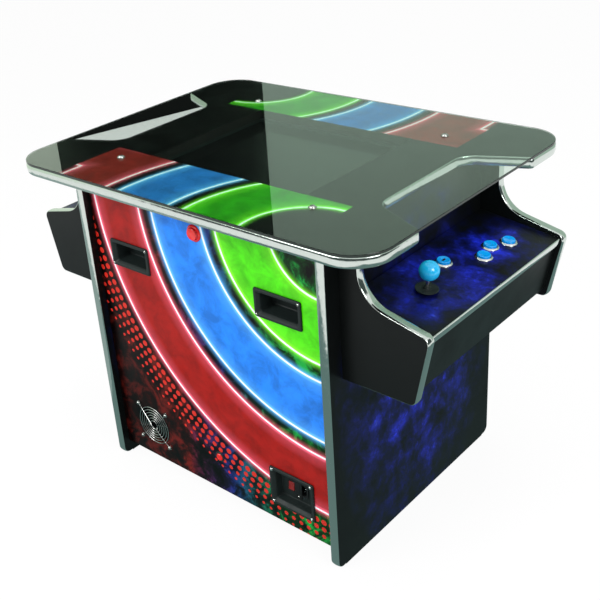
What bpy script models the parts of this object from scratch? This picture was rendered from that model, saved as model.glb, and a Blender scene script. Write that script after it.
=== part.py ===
"""Two-player cocktail arcade cabinet, in metres with +Z up.

The origin is on the floor under the middle. X runs along the table between the two players, who
sit at its +X and -X ends. The face with the cooling fan and the mains inlet looks to -Y.
"""

import math

import bmesh
import bpy
from mathutils import Matrix, Vector

# Fits
GAP = 0.0003  # between any two pieces that touch
BOARD = 0.018  # thickness of every black board of the body
SAG = 0.0009  # how far the straight between two points of an arc may cut inside it
OVERCUT = 0.004  # how far a cutter stands clear of the face that it cuts
ROOT = 0.002  # how far a part that is joined on is let into its neighbour

# Edging strip: a T in section, its tongue pressed into a groove round the board
HEAD = 0.0025
HEAD_CHAMFER = 0.0008
TONGUE = 0.0016
TONGUE_DEPTH = 0.006

# Table top
TABLE_LENGTH = 0.850
TABLE_WIDTH = 0.634
TABLE_HEIGHT = 0.683
TABLE_CORNER = 0.070
GLASS = 0.005
GLASS_INSET = 0.001
GLASS_ARRIS = 0.0007
NOTCH_OUT = 0.010  # from the end board to the back of the cut-out over a control panel
NOTCH_BACK_HALF = 0.127
NOTCH_MOUTH_HALF = 0.177
NOTCH_BACK_RADIUS = 0.038
NOTCH_MOUTH_RADIUS = 0.011
SCREEN_OPENING = (0.377, 0.317)
BOLTS_IN = (0.1913, 0.1187)  # of the glass bolts, from the end and the side of the table
GLASS_BOLT_HOLE = 0.0043

# Body
BODY_LENGTH = 0.608
BODY_WIDTH = 0.531  # over the edging of the end boards
FOOT_RADIUS = 0.016
FOOT_RETURN = 0.0225  # how far the strip turns in under the foot
SIDE_INSET = 0.0177  # of the side boards, behind the face of the strips
SIDE_BOTTOM = 0.029
BASE_BOTTOM = 0.043
LOOM_HOLE = 0.025
LOOM_DROP = 0.1894

# Control boxes. A pair is measured out from the end board and down from the top of the body
CHEEK_SET_IN = 0.036  # of each cheek, from the side of the body
CHEEK_DROP = 0.263  # of its lower edge
NECK_OUT = 0.0395
CHEEK_REST = (0.126, 0.1194)  # a point of the sloping top edge
REST_FALL = 0.235  # and how far that falls per metre
CHEEK_NOSE = (0.1613, 0.1814)  # a point of the front edge
NOSE_LEAN = 0.215  # and how far that leans out per metre of height
CHEEK_FILLET = 0.062
CHEEK_TOP_RADIUS = 0.016
CHEEK_TOE_RADIUS = 0.014
PANEL = 0.014
PANEL_TILT = math.radians(8.14)
PANEL_DROP = 0.1128
PANEL_REACH = 0.1667
FASCIA = 0.012
FASCIA_FOOT = (0.136, 0.2474)
STICK_AT = (0.0862, -0.1058)  # on the panel: down the slope, then across
BUTTONS_AT = {
    "start": (0.0584, -0.0108),
    "near": (0.0989, 0.0550),
    "middle": (0.0890, 0.0944),
    "far": (0.1046, 0.1321),
}

# Joystick: the lever rocks on a pin in a ring, and the ring on trunnions in the housing
PIVOT_DEPTH = 0.027
STICK_HOLE = 0.012
STICK_SHAFT = 0.0035
STICK_TOP = 0.044
STICK_TAIL = 0.016
COLLAR = 0.007
COLLAR_TOP = 0.004
COLLAR_BOTTOM = -0.005
COLLAR_SLOPE = 0.002
BALL = 0.0175
BALL_HEIGHT = 0.0395
DUST_WASHER = 0.020
WASHER_EDGE = 0.0010
WASHER_DOME = 0.0008
WASHER_LIFT = 0.0009
WASHER_RISE = 0.2  # of the underside per metre of radius, so that a tilted washer clears the panel
HOUSING = 0.064
HOUSING_WALL = 0.004
HOUSING_DEPTH = 0.044
HOUSING_CORNER = 0.003
HOUSING_HOLLOW_CORNER = 0.0015
RING_OUT = 0.020
RING_IN = 0.012
RING_HALF = 0.004
TRUNNION = 0.0025
CROSS_PIN = 0.002
CROSS_PIN_SHORT = 0.0015  # of the outer face of the ring

# Push buttons
PLUNGER = 0.012
PLUNGER_HIGH = 0.008
PLUNGER_FLANGE = 0.0008
PLUNGER_DISH = 0.0014
PLUNGER_EDGE = 0.001
PLUNGER_STOP = -0.009  # top and bottom of the flange that holds the plunger in
PLUNGER_BOTTOM = -0.012
BARREL_WALL = 0.0009
BEZEL_FLANGE = 0.0025
BEZEL_HIGH = 0.004
BEZEL_NECK = (-0.002, -0.0015)  # where the bore narrows to hold the flange
BUTTON_FLOOR = 0.0025
BUTTON_DEPTH = 0.0305
NUT_WALL = 0.0036
NUT_HIGH = 0.0065
BUTTON_STEPS = 12
SERVICE_DROP = 0.0594
RESET_UP = 0.111
RESET_CAP = 0.008
RESET_CROWN = 0.0035
RESET_EDGE = 0.0015
RESET_SHOULDER = 0.0018
RESET_FLANGE = 0.0025
RESET_LIP = 0.002

# Fan behind its hole, and the wire guard in front
FAN_IN = 0.113  # of its axis, from the end board
FAN_STAND = 0.0013  # over the base board
FAN = 0.092
FAN_DEEP = 0.025
FAN_CORNER = 0.004
FAN_WALL = 0.003
DUCT_STEPS = 24
FAN_LIP = 0.0015
TIP_ROOM = 0.0027
FAN_BLADES = 7
FAN_HUB = 0.0175
HUB_EDGE = 0.001
HUB_SUNK = 0.0035
FAN_PLATE = 0.003
STRUT = 0.005
STRUT_TURN = math.radians(20)
BLADE = 0.0007  # half the thickness of a blade
BLADE_CHORD = 0.010  # half its width round the hub
BLADE_ROOM = 0.002
BLADE_WAIST = 0.029
AXLE = 0.002
AXLE_SUNK = 0.009
LUG_IN = 0.00475
LUG_EYE = 0.0022
LUG = 0.0045
WIRE = 0.0009
GUARD_PITCH = 0.0065
GUARD_COUNT = 6
GUARD_REST = 1.3  # of the stay over the rings, in wire radii
GUARD_TIE = 0.00085
LUG_HIGH = 0.001  # of the eye over the middle of the stay
GUARD_JOG = ((-0.0056, -0.0045), (0.0045, -0.0065))

# Sunk cups of the grips and of the mains plate
CUP_WALL = 0.0022
CUP_CORNER = 0.004
CUP_THROAT = 0.002
RIM_HIGH = 0.0038
RIM_FLAT = 0.0055
RIM_CHAMFER = 0.0013
GRIP_IN = 0.1173
GRIP_DROP = 0.1548
GRIP_CUP = (0.088, 0.040)
GRIP_FLANGE = (0.00875, 0.00815)
GRIP_DEEP = 0.034
MAINS_IN = 0.116
MAINS_UP = 0.111
MAINS_CUP = (0.088, 0.066)
MAINS_FLANGE = (0.009, 0.0097)
MAINS_DEEP = 0.018
MODULE = (0.048, 0.028)
MODULE_PROUD = 0.002
MODULE_BEHIND = 0.026
EARS = (0.016, 0.050)
INLET_AT = 0.0115
INLET_MOUTH = (0.0166, 0.0246)
INLET_NIP = 0.005
INLET_CORNER = 0.001
INLET_DEEP = 0.016
PIN = (0.002, 0.004)
PINS_AT = ((-0.0020, -0.007), (-0.0020, 0.007), (0.0020, 0))
PIN_SHORT = 0.0055  # how far the pins stay below the mouth of the inlet
ROCKER_AT = -0.0155
ROCKER_HALF = (0.0065, 0.0092)
ROCKER_HIGH = 0.0038
ROCKER_DIP = 0.0028
ROCKER_UNDER = 0.003
ROCKER_EDGE = 0.0006
ROCKER_TURN = math.radians(6)
ROCKER_WELL = 0.009
ROCKER_PIN = 0.0010
ROCKER_PIN_LONG = 0.0010
ROCKER_LINE = 0.002  # how deep its axis lies below the face of the module

# Screen and the works inside
MONITOR = (0.412, 0.348)
MONITOR_FACE = (0.377, 0.302)
MONITOR_SUNK = 0.006
MONITOR_FRAME = 0.018
MONITOR_SLOPE = 0.012
MONITOR_BACK = (0.330, 0.260)
MONITOR_DEEP = 0.055
MONITOR_CORNER = 0.003
SPEAKER_AT = (0.0, 0.060)
SPEAKER_HOLE = 0.042
SPEAKER_FLANGE = 0.008
SPEAKER_PLATE = 0.003
SPEAKER_MAGNET = (0.026, 0.034, 0.048)  # radius, lower and upper face
SPEAKER_NECK = (0.018, 0.030)
SPEAKER_CONE = (0.014, 0.022)
SPEAKER_CAP = 0.026
BOARD_AT = (-0.020, -0.120)
BOARD_SIZE = (0.190, 0.130)
BOARD_SHEET = 0.0016
BOARD_LEG = 0.008
BOARD_LEG_RADIUS = 0.003
BOARD_LEG_IN = 0.006
BOARD_PARTS = {  # x, y, length, width, height
    "case": (-0.045, 0.010, 0.056, 0.056, 0.024),
    "chip": (0.020, 0.020, 0.030, 0.030, 0.003),
    "ports": (0.000, -0.052, 0.120, 0.018, 0.014),
    "loom": (0.080, 0.010, 0.014, 0.090, 0.012),
}
SUPPLY_IN = 0.026  # from the end board
SUPPLY_ACROSS = 0.080
SUPPLY_SIZE = (0.140, 0.150, 0.086)
SUPPLY_WELL = (0.040, 0.010, 0.060)

# Heights, faces and places that follow from the sizes above
TOP_BOTTOM = TABLE_HEIGHT - GLASS - GAP - BOARD
BODY_TOP = TOP_BOTTOM - GAP
SIDE_FACE = BODY_WIDTH / 2 - SIDE_INSET
SIDE_BACK = SIDE_FACE - BOARD
BASE_TOP = BASE_BOTTOM + BOARD
END_FACE = BODY_LENGTH / 2
END_BACK = END_FACE - BOARD
CHEEK_FACE = BODY_WIDTH / 2 - CHEEK_SET_IN
CHEEK_INNER = CHEEK_FACE - BOARD
NOTCH_BACK = END_FACE + NOTCH_OUT
BARREL = PLUNGER + PLUNGER_FLANGE + GAP + BARREL_WALL
BEZEL = BARREL + BEZEL_FLANGE
NUT = BARREL + NUT_WALL
FAN_DUCT = FAN / 2 - FAN_WALL
FAN_HOLE = FAN_DUCT - FAN_LIP
FAN_TIP = FAN_DUCT - TIP_ROOM
FAN_LUG = FAN / 2 - LUG_IN
FAN_AT = (FAN_IN - END_FACE, BASE_TOP + FAN_STAND + FAN / 2)
SERVICE_AT = (0.0, BODY_TOP - SERVICE_DROP)
RESET_AT = (0.0, RESET_UP)
GRIP_AT = (END_FACE - GRIP_IN, BODY_TOP - GRIP_DROP)
MAINS_AT = (END_FACE - MAINS_IN, MAINS_UP)

UPRIGHT = Matrix.Rotation(math.pi / 2, 4, "X")  # a flat outline stands up in XZ, facing -Y
ENDWISE = Matrix.Rotation(math.pi / 2, 4, "Z") @ UPRIGHT  # and in YZ, facing +X

BLACK = (0.012, 0.014, 0.014)
CHROME = (0.62, 0.66, 0.64)
DARK_METAL = (0.10, 0.10, 0.11)
STEEL = (0.45, 0.46, 0.47)
CYAN = (0.01, 0.36, 0.85)
RED = (0.55, 0.02, 0.01)
GLASS_TINT = (0.10, 0.16, 0.13)
SCREEN_BLACK = (0.004, 0.005, 0.006)
CIRCUIT = (0.02, 0.12, 0.05)


def clear_scene():
    for thing in list(bpy.data.objects):
        bpy.data.objects.remove(thing)


clear_scene()
cabinet = bpy.data.collections.new("arcade_cabinet")
cutters = bpy.data.collections.new("cutters")
for collection in (cabinet, cutters):
    bpy.context.scene.collection.children.link(collection)
cutters.hide_render = True


def at(x, y, z):
    return Matrix.Translation((x, y, z))


def place(thing, matrix, parent=None, cutter=False):
    """Links an object, sets its place under its parent, and hides it if it only cuts."""
    (cutters if cutter else cabinet).objects.link(thing)
    thing.parent = parent
    thing.matrix_local = matrix
    if cutter:
        thing.hide_render = True
        thing.display_type = "WIRE"
    return thing


def paint(thing, colour, metallic=0.0, roughness=0.5):
    material = bpy.data.materials.new(thing.name)
    material.use_nodes = True
    shader = material.node_tree.nodes["Principled BSDF"]
    shader.inputs["Base Color"].default_value = (*colour, 1)
    shader.inputs["Metallic"].default_value = metallic
    shader.inputs["Roughness"].default_value = roughness
    thing.data.materials.clear()
    thing.data.materials.append(material)
    return thing


def axis(name, matrix, parent=None):
    """An empty that marks a joint axis, or the frame that a group of pieces is laid out in."""
    empty = bpy.data.objects.new(name, None)
    cabinet.objects.link(empty)
    empty.parent = parent
    empty.matrix_local = matrix
    return empty


# Outlines


def rounded(corners, closed=True):
    """Points of a line through (x, y, radius) corners, each corner turned into an arc."""
    points = []
    count = len(corners)
    for index, (x, y, radius) in enumerate(corners):
        here = Vector((x, y))
        if not radius or (not closed and index in (0, count - 1)):
            points.append(here)
            continue
        before = (Vector(corners[index - 1][:2]) - here).normalized()
        after = (Vector(corners[(index + 1) % count][:2]) - here).normalized()
        half = before.angle(after) / 2
        centre = here + (before + after).normalized() * (radius / math.sin(half))
        start = here + before * (radius / math.tan(half)) - centre
        sweep = math.copysign(math.pi - 2 * half, -before.cross(after))
        widest = 2 * math.acos(max(0.0, 1 - SAG / radius))
        steps = math.ceil(abs(sweep) / widest)
        for step in range(steps + 1):
            points.append(centre + Matrix.Rotation(sweep * step / steps, 2) @ start)
    return points


def inset(points, distance, closed=True):
    """The same line moved to its left, mitred at each point."""
    moved = []
    count = len(points)
    for index, here in enumerate(points):
        sides = []
        if closed or index > 0:
            sides.append(here - points[index - 1])
        if closed or index < count - 1:
            sides.append(points[(index + 1) % count] - here)
        normals = [Vector((-side.y, side.x)).normalized() for side in sides]
        first, last = normals[0], normals[-1]
        moved.append(here + (first + last) * (distance / (1 + first.dot(last))))
    return moved


def lengthened(points, extra):
    """An open line with both of its ends drawn out."""
    first = points[0] + (points[0] - points[1]).normalized() * extra
    last = points[-1] + (points[-1] - points[-2]).normalized() * extra
    return [first, *points, last]


def mirrored(points):
    """A line mirrored left to right, and turned round so that its inside stays on its left."""
    return [Vector((-point.x, point.y)) for point in reversed(points)]


def rectangle(width, height, radius=0.0, centre=(0.0, 0.0)):
    x, y = centre
    half_w, half_h = width / 2, height / 2
    return rounded(
        [
            (x - half_w, y - half_h, radius),
            (x + half_w, y - half_h, radius),
            (x + half_w, y + half_h, radius),
            (x - half_w, y + half_h, radius),
        ]
    )


def circle(radius, centre=(0.0, 0.0), steps=16):
    middle = Vector(centre)
    turns = [2 * math.pi * step / steps for step in range(steps)]
    return [middle + radius * Vector((math.cos(turn), math.sin(turn))) for turn in turns]


# Solids


def line(name, splines, closed=True):
    """A flat curve with one straight-sided spline for each list of points."""
    curve = bpy.data.curves.new(name, "CURVE")
    curve.dimensions = "2D"
    for points in splines:
        spline = curve.splines.new("POLY")
        spline.points.add(len(points) - 1)
        for point, (x, y) in zip(spline.points, points):
            point.co = (x, y, 0, 1)
        spline.use_cyclic_u = closed
    return bpy.data.objects.new(name + "_line", curve)


def meshed(name, curve, matrix, parent, cutter):
    """Turns a curve into a welded mesh object that takes its place."""
    bpy.context.scene.collection.objects.link(curve)
    graph = bpy.context.evaluated_depsgraph_get()
    mesh = bpy.data.meshes.new_from_object(curve.evaluated_get(graph))
    shape = bmesh.new()
    shape.from_mesh(mesh)
    bmesh.ops.remove_doubles(shape, verts=shape.verts, dist=0.00001)
    bmesh.ops.recalc_face_normals(shape, faces=shape.faces)
    shape.to_mesh(mesh)
    shape.free()
    matrix = matrix @ curve.matrix_world
    bpy.data.objects.remove(curve)
    return place(bpy.data.objects.new(name, mesh), matrix, parent, cutter)


def board(name, outline, thickness, matrix, parent=None, holes=(), cutter=False):
    """A flat outline with holes, extruded from its plane up to its thickness."""
    curve = line(name, [outline, *holes])
    curve.data.fill_mode = "BOTH"
    curve.data.extrude = thickness / 2
    return meshed(name, curve, matrix @ at(0, 0, thickness / 2), parent, cutter)


def swept(name, path, section, matrix, parent=None, closed=True, cutter=False):
    """A section (outwards, across) carried round a path. A closed path is followed clockwise."""
    side = -1 if closed else 1
    profile = line(name + "_section", [[(side * out, across) for out, across in section]])
    bpy.context.scene.collection.objects.link(profile)
    curve = line(name, [path], closed)
    curve.data.bevel_mode = "OBJECT"
    curve.data.bevel_object = profile
    curve.data.use_fill_caps = not closed
    solid = meshed(name, curve, matrix, parent, cutter)
    bpy.data.objects.remove(profile)
    return solid


def turned(name, profile, steps, matrix, parent=None, closed=False, cutter=False):
    """A (radius, height) profile screwed round the axis. Its outer side runs from top to bottom."""
    mesh = bpy.data.meshes.new(name)
    count = len(profile)
    edges = [(index, index + 1) for index in range(count - 1)]
    if closed:
        edges.append((count - 1, 0))
    mesh.from_pydata([(radius, 0, height) for radius, height in profile], edges, [])
    solid = place(bpy.data.objects.new(name, mesh), matrix, parent, cutter)
    screw = solid.modifiers.new("Turn", "SCREW")
    screw.steps = screw.render_steps = steps
    screw.use_merge_vertices = True
    screw.merge_threshold = 0.00001
    screw.use_smooth_shade = True
    return solid


def finished(name, shape, matrix, parent=None, cutter=False):
    """Makes the object of a bmesh."""
    mesh = bpy.data.meshes.new(name)
    bmesh.ops.recalc_face_normals(shape, faces=shape.faces)
    shape.to_mesh(mesh)
    shape.free()
    return place(bpy.data.objects.new(name, mesh), matrix, parent, cutter)


def skinned(shape, rings):
    """A skin over a row of rings of points with equal counts, capped at both ends."""
    rows = [[shape.verts.new(point) for point in ring] for ring in rings]
    count = len(rows[0])
    shape.faces.new(rows[0])
    shape.faces.new(rows[-1])
    for low, high in zip(rows, rows[1:]):
        for index in range(count):
            after = (index + 1) % count
            shape.faces.new((low[index], low[after], high[after], high[index]))


def lofted(name, rings, matrix, parent=None):
    """A solid through a stack of (outline, height) sections."""
    shape = bmesh.new()
    skinned(shape, [[(x, y, height) for x, y in outline] for outline, height in rings])
    return finished(name, shape, matrix, parent)


def block(name, size, centre, matrix, parent=None, cutter=False):
    """A box, by its size and the middle of its body."""
    shape = bmesh.new()
    bmesh.ops.create_cube(shape, size=1, matrix=at(*centre) @ Matrix.Diagonal((*size, 1)))
    return finished(name, shape, matrix, parent, cutter)


def rod(name, radius, start, end, matrix, parent=None, steps=16, cutter=False):
    """A round bar between two points."""
    start, end = Vector(start), Vector(end)
    turn = (end - start).to_track_quat("Z", "Y").to_matrix().to_4x4()
    shape = bmesh.new()
    bmesh.ops.create_cone(
        shape,
        cap_ends=True,
        segments=steps,
        radius1=radius,
        radius2=radius,
        depth=(end - start).length,
        matrix=Matrix.Translation((start + end) / 2) @ turn,
    )
    return finished(name, shape, matrix, parent, cutter)


def wire(name, radius, path, matrix, parent=None, closed=False, cutter=False):
    """A six-sided wire along a flat path."""
    curve = line(name, [path], closed)
    curve.data.bevel_depth = radius
    curve.data.bevel_resolution = 1
    curve.data.use_fill_caps = not closed
    return meshed(name, curve, matrix, parent, cutter)


def joined(solid, other, operation):
    modifier = solid.modifiers.new(other.name, "BOOLEAN")
    modifier.operation = operation
    modifier.solver = "EXACT"
    modifier.object = other
    return solid


def cut(solid, *others):
    for other in others:
        joined(solid, other, "DIFFERENCE")
    return solid


def add(solid, *others):
    for other in others:
        joined(solid, other, "UNION")
    return solid


def smooth(thing):
    for face in thing.data.polygons:
        face.use_smooth = True
    return thing


# Edging: the strip and the groove are carried round the same line, the edge of the board


def strip_section():
    across, tongue = BOARD / 2, TONGUE / 2
    return [
        (-TONGUE_DEPTH, -tongue),
        (-TONGUE_DEPTH, tongue),
        (GAP, tongue),
        (GAP, across),
        (HEAD - HEAD_CHAMFER, across),
        (HEAD, across - HEAD_CHAMFER),
        (HEAD, HEAD_CHAMFER - across),
        (HEAD - HEAD_CHAMFER, -across),
        (GAP, -across),
        (GAP, -tongue),
    ]


def groove_section():
    deep, half = TONGUE_DEPTH + GAP, TONGUE / 2 + GAP
    return [(-deep, -half), (-deep, half), (HEAD, half), (HEAD, -half)]


def edged(solid, strip_name, edge, matrix, parent=None, closed=True):
    """Cuts the groove round an edge of a board and carries the strip round it."""
    middle = matrix @ at(0, 0, BOARD / 2)
    groove = edge if closed else lengthened(edge, HEAD)
    name = strip_name + "_groove"
    cut(solid, swept(name, groove, groove_section(), middle, parent, closed, cutter=True))
    strip = swept(strip_name, edge, strip_section(), middle, parent, closed)
    return paint(strip, CHROME, 1.0, 0.12)


# Table top


def table_edge():
    x, y, corner = TABLE_LENGTH / 2, TABLE_WIDTH / 2, TABLE_CORNER
    half = [
        (x, -y, corner),
        (x, -NOTCH_MOUTH_HALF, NOTCH_MOUTH_RADIUS),
        (NOTCH_BACK, -NOTCH_BACK_HALF, NOTCH_BACK_RADIUS),
        (NOTCH_BACK, NOTCH_BACK_HALF, NOTCH_BACK_RADIUS),
        (x, NOTCH_MOUTH_HALF, NOTCH_MOUTH_RADIUS),
        (x, y, corner),
    ]
    other = [(-right, -far, radius) for right, far, radius in half]
    return inset(rounded(half + other), HEAD)


def bolt_holes():
    x, y = TABLE_LENGTH / 2 - BOLTS_IN[0], TABLE_WIDTH / 2 - BOLTS_IN[1]
    middles = [(x, y), (-x, y), (-x, -y), (x, -y)]
    return [circle(GLASS_BOLT_HOLE, middle, 8) for middle in middles]


def build_top():
    edge = table_edge()
    holes = [rectangle(*SCREEN_OPENING), *bolt_holes()]
    level = at(0, 0, TOP_BOTTOM)
    top = paint(board("top_board", edge, BOARD, level, holes=holes), BLACK, roughness=0.35)
    edged(top, "top_edging", edge, level)

    corner = TABLE_CORNER - GLASS_INSET
    size = (TABLE_LENGTH - 2 * GLASS_INSET, TABLE_WIDTH - 2 * GLASS_INSET)
    level = at(0, 0, TABLE_HEIGHT - GLASS)
    glass = board("glass_top", rectangle(*size, corner), GLASS, level, holes=bolt_holes())
    arris = glass.modifiers.new("Arris", "BEVEL")
    arris.width = GLASS_ARRIS
    arris.segments = 1
    arris.limit_method = "ANGLE"
    arris.angle_limit = math.radians(60)
    paint(glass, GLASS_TINT, roughness=0.03)


# Body


def build_ends():
    half = BODY_WIDTH / 2
    outer = [(-half, BODY_TOP, 0), (-half, 0, FOOT_RADIUS), (FOOT_RETURN - half, 0, 0)]
    front = inset(rounded(outer, closed=False), HEAD, closed=False)
    back = mirrored(front)
    step = front[-1].x + GAP
    sole = [Vector((step, HEAD)), Vector((step, 0)), Vector((-step, 0)), Vector((-step, HEAD))]
    outline = front + sole + back
    loom = circle(LOOM_HOLE, (0, BODY_TOP - LOOM_DROP), 12)
    for name, inner in (("right", END_BACK), ("left", -END_FACE)):
        matrix = at(inner, 0, 0) @ ENDWISE
        end = board("end_board_" + name, outline, BOARD, matrix, holes=[loom])
        paint(end, BLACK, roughness=0.35)
        edged(end, f"end_edging_{name}_front", front, matrix, closed=False)
        edged(end, f"end_edging_{name}_back", back, matrix, closed=False)


def front_face(point=(0.0, 0.0)):
    """The frame of a fitting on the front side board, looking out to -Y."""
    return at(point[0], -SIDE_FACE, point[1]) @ UPRIGHT


def build_sides():
    length = BODY_LENGTH - 2 * BOARD - 2 * GAP
    height = BODY_TOP - SIDE_BOTTOM
    outline = rectangle(length, height, centre=(0, SIDE_BOTTOM + height / 2))
    grips = [(-GRIP_AT[0], GRIP_AT[1]), GRIP_AT]
    openings = [rectangle(*widened(GRIP_CUP), centre=middle) for middle in grips]
    openings += [
        rectangle(*widened(MAINS_CUP), centre=MAINS_AT),
        circle(FAN_HOLE, FAN_AT, DUCT_STEPS),
        circle(BARREL + GAP, SERVICE_AT, BUTTON_STEPS),
        circle(RESET_CAP + GAP, RESET_AT, BUTTON_STEPS),
    ]
    inner = at(0, -SIDE_BACK, 0) @ UPRIGHT
    paint(board("side_board_front", outline, BOARD, inner, holes=openings), BLACK, roughness=0.3)
    outer = at(0, SIDE_FACE, 0) @ UPRIGHT
    paint(board("side_board_back", outline, BOARD, outer), BLACK, roughness=0.3)

    width = 2 * (SIDE_BACK - GAP)
    speaker = circle(SPEAKER_HOLE, SPEAKER_AT, 16)
    level = at(0, 0, BASE_BOTTOM)
    base = board("base_board", rectangle(length, width), BOARD, level, holes=[speaker])
    paint(base, BLACK, roughness=0.6)


def widened(size):
    """The opening in a board for a sunk cup of this size."""
    return size[0] + 2 * GAP, size[1] + 2 * GAP


# Control boxes


def from_end(point):
    """A place measured out from the end board and down from the top of the body."""
    return END_FACE + point[0], BODY_TOP - point[1]


def cheek_edge():
    (rest_x, rest_z), (nose_x, nose_z) = from_end(CHEEK_REST), from_end(CHEEK_NOSE)
    neck_x, bottom = from_end((NECK_OUT, CHEEK_DROP))
    # Where the sloping top edge and the leaning front edge would meet
    reach = nose_x + NOSE_LEAN * (rest_z + REST_FALL * rest_x - nose_z)
    tip_x = reach / (1 + NOSE_LEAN * REST_FALL)
    outer = [
        (END_FACE + GAP, bottom, 0),
        (nose_x + NOSE_LEAN * (bottom - nose_z), bottom, CHEEK_TOE_RADIUS),
        (tip_x, rest_z - REST_FALL * (tip_x - rest_x), CHEEK_TOP_RADIUS),
        (neck_x, rest_z - REST_FALL * (neck_x - rest_x), CHEEK_FILLET),
        (neck_x, BODY_TOP, 0),
    ]
    return inset(rounded(outer, closed=False), HEAD, closed=False)


def build_cheeks(end, frame):
    edge = cheek_edge()
    outline = [*edge, Vector((END_FACE + GAP, BODY_TOP))]
    for side, inner in (("front", -CHEEK_INNER), ("back", CHEEK_FACE)):
        matrix = at(0, inner, 0) @ UPRIGHT
        cheek = board(f"cheek_{end}_{side}", outline, BOARD, matrix, frame)
        paint(cheek, BLACK, roughness=0.35)
        edged(cheek, f"cheek_edging_{end}_{side}", edge, matrix, frame, closed=False)


def panel_outline():
    """Section of the control board: its back edge stands plumb against the end board."""
    sine, cosine = math.sin(PANEL_TILT), math.cos(PANEL_TILT)
    back_top = 2 * GAP / cosine
    back_bottom = (2 * GAP + PANEL * sine) / cosine
    nose = PANEL_REACH - HEAD_CHAMFER
    return [
        Vector((back_top, 0)),
        Vector((back_bottom, -PANEL)),
        Vector((nose, -PANEL)),
        Vector((PANEL_REACH, HEAD_CHAMFER - PANEL)),
        Vector((PANEL_REACH, -HEAD_CHAMFER)),
        Vector((nose, 0)),
    ]


def build_panel(end, panel):
    name = f"control_board_{end}"
    half = CHEEK_INNER - GAP
    matrix = at(0, half, 0) @ UPRIGHT
    control = board(name, panel_outline(), 2 * half, matrix, panel)
    outline = rectangle(HOUSING, HOUSING, HOUSING_CORNER, STICK_AT)
    inside = HOUSING - 2 * HOUSING_WALL
    hollow = rectangle(inside, inside, HOUSING_HOLLOW_CORNER, STICK_AT)
    bottom = at(0, 0, -HOUSING_DEPTH)
    tall = HOUSING_DEPTH - PANEL + ROOT
    housing = board(name + "_housing", outline, tall, bottom, panel, [hollow], cutter=True)
    add(control, housing)
    middle = at(*STICK_AT, 0)
    far = HOUSING / 2 + OVERCUT
    bore = TRUNNION + GAP
    ends = (0, -far, -PIVOT_DEPTH), (0, far, -PIVOT_DEPTH)
    cut(control, rod(name + "_bore", bore, *ends, middle, panel, 8, cutter=True))
    ends = (0, 0, -PANEL - OVERCUT), (0, 0, OVERCUT)
    cut(control, rod(name + "_stick", STICK_HOLE, *ends, middle, panel, 16, cutter=True))
    for button, (down, across) in BUTTONS_AT.items():
        hole = f"{name}_{button}"
        spot = at(down, across, 0)
        cut(control, rod(hole, BARREL + GAP, *ends, spot, panel, BUTTON_STEPS, cutter=True))
    paint(control, BLACK, roughness=0.35)


def build_fascia(end, frame):
    """Front and floor of the box in one bent piece, behind and below the control board."""
    foot_x, foot_z = from_end(FASCIA_FOOT)
    fall = math.tan(PANEL_TILT)
    under = BODY_TOP - PANEL_DROP - (PANEL + GAP) / math.cos(PANEL_TILT)
    # Where the leaning front meets the underside of the control board
    over_foot = under - fall * (foot_x - END_FACE) - foot_z
    rise = over_foot / (1 + fall * NOSE_LEAN)
    top_x, top_z = foot_x + NOSE_LEAN * rise, foot_z + rise
    thick = FASCIA / math.cos(math.atan(NOSE_LEAN))
    inner_x = foot_x - thick + NOSE_LEAN * FASCIA
    behind_rise = (over_foot + fall * (foot_x - inner_x) - FASCIA) / (1 + fall * NOSE_LEAN)
    behind_x = inner_x + NOSE_LEAN * behind_rise
    outline = [
        Vector((END_FACE + GAP, foot_z)),
        Vector((foot_x, foot_z)),
        Vector((top_x, top_z)),
        Vector((behind_x, foot_z + FASCIA + behind_rise)),
        Vector((inner_x, foot_z + FASCIA)),
        Vector((END_FACE + GAP, foot_z + FASCIA)),
    ]
    half = CHEEK_INNER - GAP
    matrix = at(0, half, 0) @ UPRIGHT
    paint(board(f"box_fascia_{end}", outline, 2 * half, matrix, frame), BLACK, roughness=0.35)


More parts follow.
